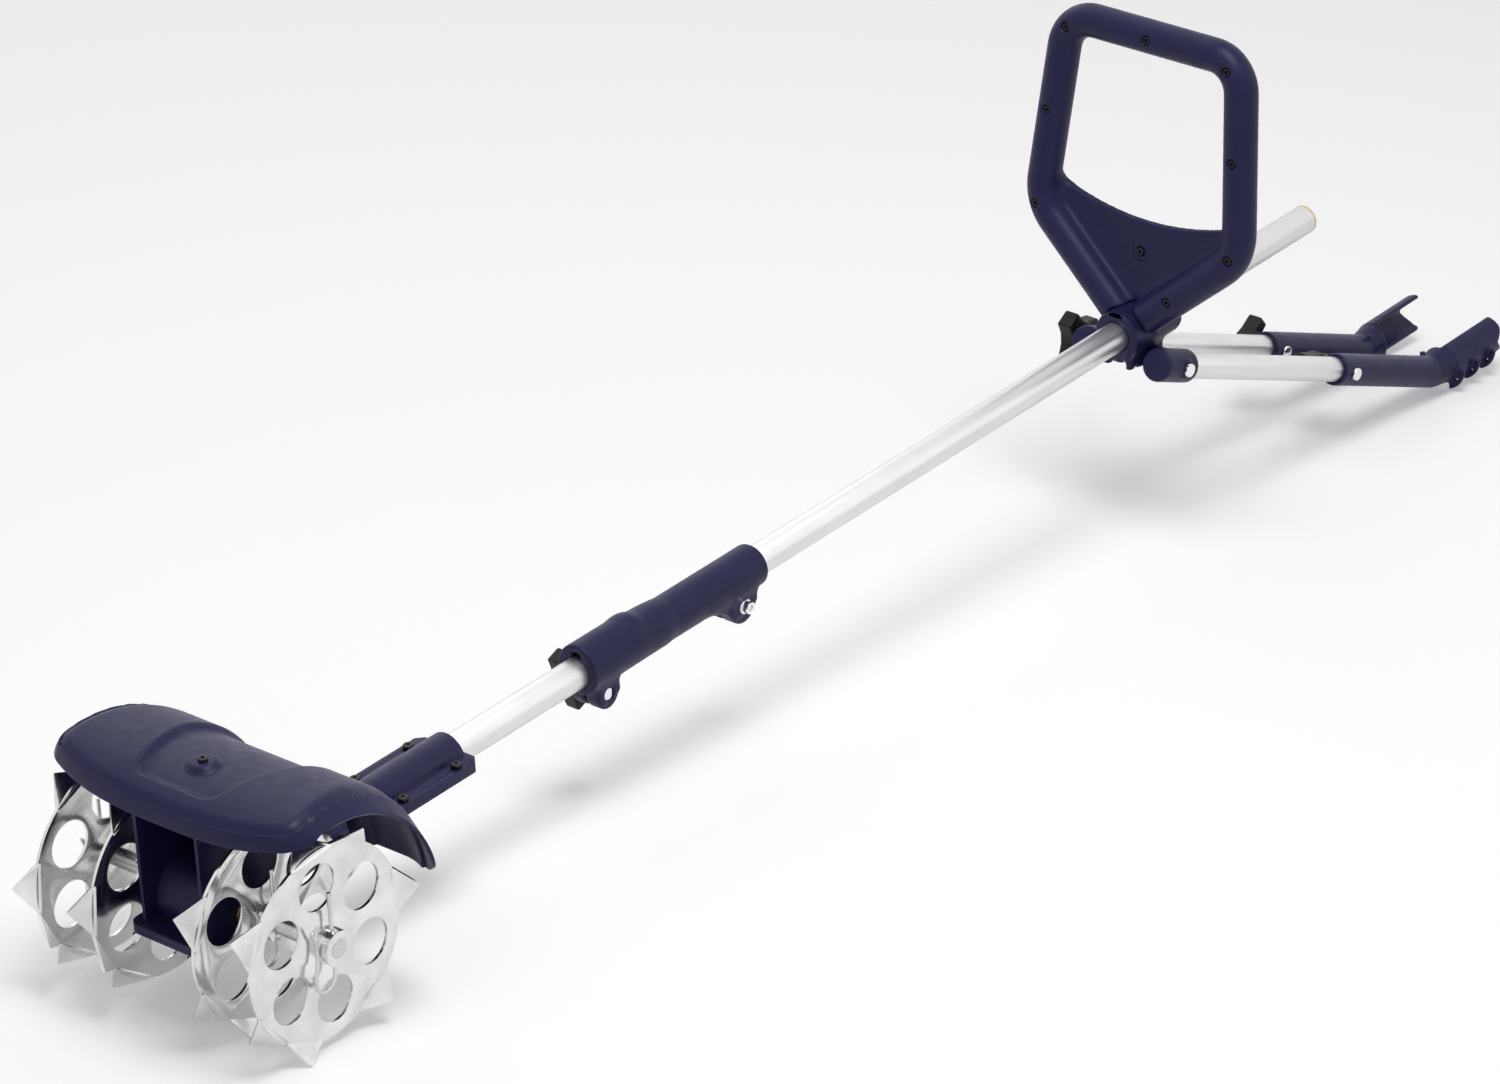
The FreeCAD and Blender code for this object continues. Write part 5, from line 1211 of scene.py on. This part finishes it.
class ScrewTree:
    """Geometry nodes that set a socket screw on every point, along the point's own facing."""

    SIZES = ("Head Radius", "Head Height", "Shank Radius", "Shank Length", "Socket Radius")
    FACING = "facing"
    RIM = 0.14  # how far the rim's top is drawn in, as a share of the head's radius

    def __init__(self) -> None:
        """Build the tree with its named inputs."""
        self.tree = bpy.data.node_groups.new("socket_screws", "GeometryNodeTree")
        interface = self.tree.interface
        interface.new_socket("Geometry", in_out="INPUT", socket_type="NodeSocketGeometry")
        kinds = {**dict.fromkeys(self.SIZES, "NodeSocketFloat"), "Material": "NodeSocketMaterial"}
        self.keys = {name: interface.new_socket(name, in_out="INPUT", socket_type=kind).identifier
                     for name, kind in kinds.items()}
        interface.new_socket("Geometry", in_out="OUTPUT", socket_type="NodeSocketGeometry")
        self.source = self.add("NodeGroupInput")
        self.finish(self.screw())

    def add(self, kind: str, **inputs: object) -> bpy.types.Node:
        """Add a node and set or link its inputs, whose names have underscores for spaces."""
        node = self.tree.nodes.new(kind)
        for name, value in inputs.items():
            socket = node.inputs[name.replace("_", " ")]
            if isinstance(value, bpy.types.NodeSocket):
                self.tree.links.new(value, socket)
            else:
                socket.default_value = value
        return node

    def times(self, socket: bpy.types.NodeSocket, factor: float) -> bpy.types.NodeSocket:
        """A size times a number."""
        node = self.tree.nodes.new("ShaderNodeMath")
        node.operation = "MULTIPLY"
        self.tree.links.new(socket, node.inputs[0])
        node.inputs[1].default_value = factor
        return node.outputs["Value"]

    def pillar(self, sides: int, radius: str, length: str, share: float,
               rings: int = 1) -> bpy.types.NodeSocket:
        """An upright cylinder whose middle lies at a share of its length over zero."""
        sizes = self.source.outputs
        body = self.add("GeometryNodeMeshCylinder", Vertices=sides, Side_Segments=rings, Radius=sizes[radius],
                        Depth=sizes[length])
        lift = self.add("ShaderNodeCombineXYZ", Z=self.times(sizes[length], share))
        return self.add("GeometryNodeTransform", Geometry=body.outputs["Mesh"],
                        Translation=lift.outputs["Vector"]).outputs["Geometry"]

    def screw(self) -> bpy.types.NodeSocket:
        """One screw: a head with an eased rim, a hexagonal socket and a shank."""
        head = self.pillar(32, "Head Radius", "Head Height", 0.5, rings=4)
        position = self.add("GeometryNodeInputPosition").outputs["Position"]
        height = self.add("ShaderNodeSeparateXYZ", Vector=position)
        above = self.tree.nodes.new("FunctionNodeCompare")
        above.operation = "GREATER_THAN"
        self.tree.links.new(height.outputs["Z"], above.inputs["A"])
        self.tree.links.new(self.times(self.source.outputs["Head Height"], 0.9), above.inputs["B"])
        inwards = self.tree.nodes.new("ShaderNodeVectorMath")
        inwards.operation = "MULTIPLY"
        inwards.inputs[1].default_value = (-self.RIM, -self.RIM, 0.0)
        self.tree.links.new(position, inwards.inputs[0])
        eased = self.add("GeometryNodeSetPosition", Geometry=head, Selection=above.outputs["Result"],
                         Offset=inwards.outputs["Vector"]).outputs["Geometry"]
        shank = self.pillar(24, "Shank Radius", "Shank Length", -0.48)
        socket = self.pillar(6, "Socket Radius", "Head Height", 1.0)
        solid = self.combined("UNION", eased, shank)
        return self.combined("DIFFERENCE", solid, socket)

    def combined(self, operation: str, first: bpy.types.NodeSocket,
                 second: bpy.types.NodeSocket) -> bpy.types.NodeSocket:
        """Two closed shapes joined, or the second cut from the first."""
        node = self.tree.nodes.new("GeometryNodeMeshBoolean")
        node.operation = operation
        if operation == "DIFFERENCE":
            self.tree.links.new(first, node.inputs["Mesh 1"])
            self.tree.links.new(second, node.inputs["Mesh 2"])
        else:
            self.tree.links.new(first, node.inputs["Mesh 2"])
            self.tree.links.new(second, node.inputs["Mesh 2"])
        return node.outputs["Mesh"]

    def finish(self, screw: bpy.types.NodeSocket) -> None:
        """Set the screw on each point, realize it and give it its material."""
        facing = self.tree.nodes.new("GeometryNodeInputNamedAttribute")
        facing.data_type = "FLOAT_VECTOR"
        facing.inputs["Name"].default_value = self.FACING
        turn = self.tree.nodes.new("FunctionNodeAlignRotationToVector")
        turn.axis = "Z"
        self.tree.links.new(facing.outputs["Attribute"], turn.inputs["Vector"])
        placed = self.add("GeometryNodeInstanceOnPoints", Points=self.source.outputs["Geometry"],
                          Instance=screw, Rotation=turn.outputs["Rotation"])
        real = self.add("GeometryNodeRealizeInstances", Geometry=placed.outputs["Instances"])
        dressed = self.add("GeometryNodeSetMaterial", Geometry=real.outputs["Geometry"],
                           Material=self.source.outputs["Material"])
        sink = self.tree.nodes.new("NodeGroupOutput")
        self.tree.links.new(dressed.outputs["Geometry"], sink.inputs["Geometry"])

    def grow(self, name: str, seats: Sequence[tuple[Point, Point]], sizes: dict[str, float],
             material: bpy.types.Material) -> bpy.types.Mesh:
        """Set one screw on each seat.

        Args:
            name: Name of the mesh.
            seats: Middle of each seat, and the direction its screw's head faces.
            sizes: The tree's sizes by name, in millimetres.
            material: The screws' finish.

        Returns:
            The screws as one plain mesh.
        """
        points = bpy.data.meshes.new(f"{name}_seats")
        points.from_pydata([seat for seat, facing in seats], [], [])
        attribute = points.attributes.new(self.FACING, "FLOAT_VECTOR", "POINT")
        attribute.data.foreach_set("vector", [value for seat, facing in seats for value in facing])
        holder = bpy.data.objects.new(points.name, points)
        modifier = holder.modifiers.new("screws", "NODES")
        modifier.node_group = self.tree
        for key, value in {**sizes, "Material": material}.items():
            modifier[self.keys[key]] = value
        bpy.context.scene.collection.objects.link(holder)
        graph = bpy.context.evaluated_depsgraph_get()
        result = bpy.data.meshes.new_from_object(holder.evaluated_get(graph))
        result.name = name
        bpy.data.objects.remove(holder)
        bpy.data.meshes.remove(points)
        return result


@dataclass
class ScrewSets:
    """The black socket screws of the hood and of the handle. Sizes are millimetres."""

    workshop: Workshop
    handle: LoopHandle
    height: float = 3.5
    shank: float = 2.0
    socket: float = 1.75
    hood_seat: float = 116.0
    grip_seat: float = -9.0
    web_seat: float = 7.5

    def build(self) -> None:
        """Set every screw on its seat."""
        tree = ScrewTree()
        hood = [((0.0, 0.0, self.hood_seat), (0.0, 0.0, 1.0))]
        self.deliver(tree, "hood_cap_screw", "hood_screw", hood, (4.0, 9.0))
        grip = [((x, y, self.grip_seat), (0.0, 0.0, -1.0)) for x, y in self.handle.screw_spots()]
        grip.append(((0.0, self.handle.boss[1], self.web_seat), (0.0, 0.0, -1.0)))
        self.deliver(tree, "grip_cap_screws", "handle_screws", grip, (3.75, 6.0), self.handle.place)

    def deliver(self, tree: ScrewTree, name: str, node: str, seats: Sequence[tuple[Point, Point]],
                size: tuple[float, float], place: Matrix | None = None) -> None:
        """Make one set, its head's radius and shank's length given, and let it stand for its node."""
        head, length = size
        sizes = dict(zip(ScrewTree.SIZES, (head, self.height, self.shank, length, self.socket)))
        mesh = tree.grow(name, seats, sizes, self.workshop.materials["black_screws"])
        self.workshop.finish(mesh, name, node, "black_screws", place)


def main() -> None:
    """Build the whole picture."""
    logging.basicConfig(level=logging.INFO, format="%(message)s")
    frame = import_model()
    workshop = Workshop(frame, ShaftFrame.from_record(frame["joints"]))
    HoodShell(workshop).build()
    LoopHandle(workshop).build()
    Coupler(workshop).build()
    ScrewSets(workshop, LoopHandle(workshop)).build()
    for side in Side:
        DrillArm(workshop, side).build()
    for knob in clamp_knobs(workshop):
        knob.build()
    replaced = {"hood", "hood_screw", "handle_front_shell", "handle_back_shell", "handle_screws",
                "coupler_body", "coupler_knob", "pivot_knob"}
    replaced |= {f"{node}_{side.word}" for node in ("arm_socket", "saddle", "saddle_knob") for side in Side}
    CarriedNodes(workshop).dress(replaced)
    Studio(workshop).build()
    bpy.context.scene.view_settings.view_transform = "Standard"


if __name__ == "__main__":
    main()
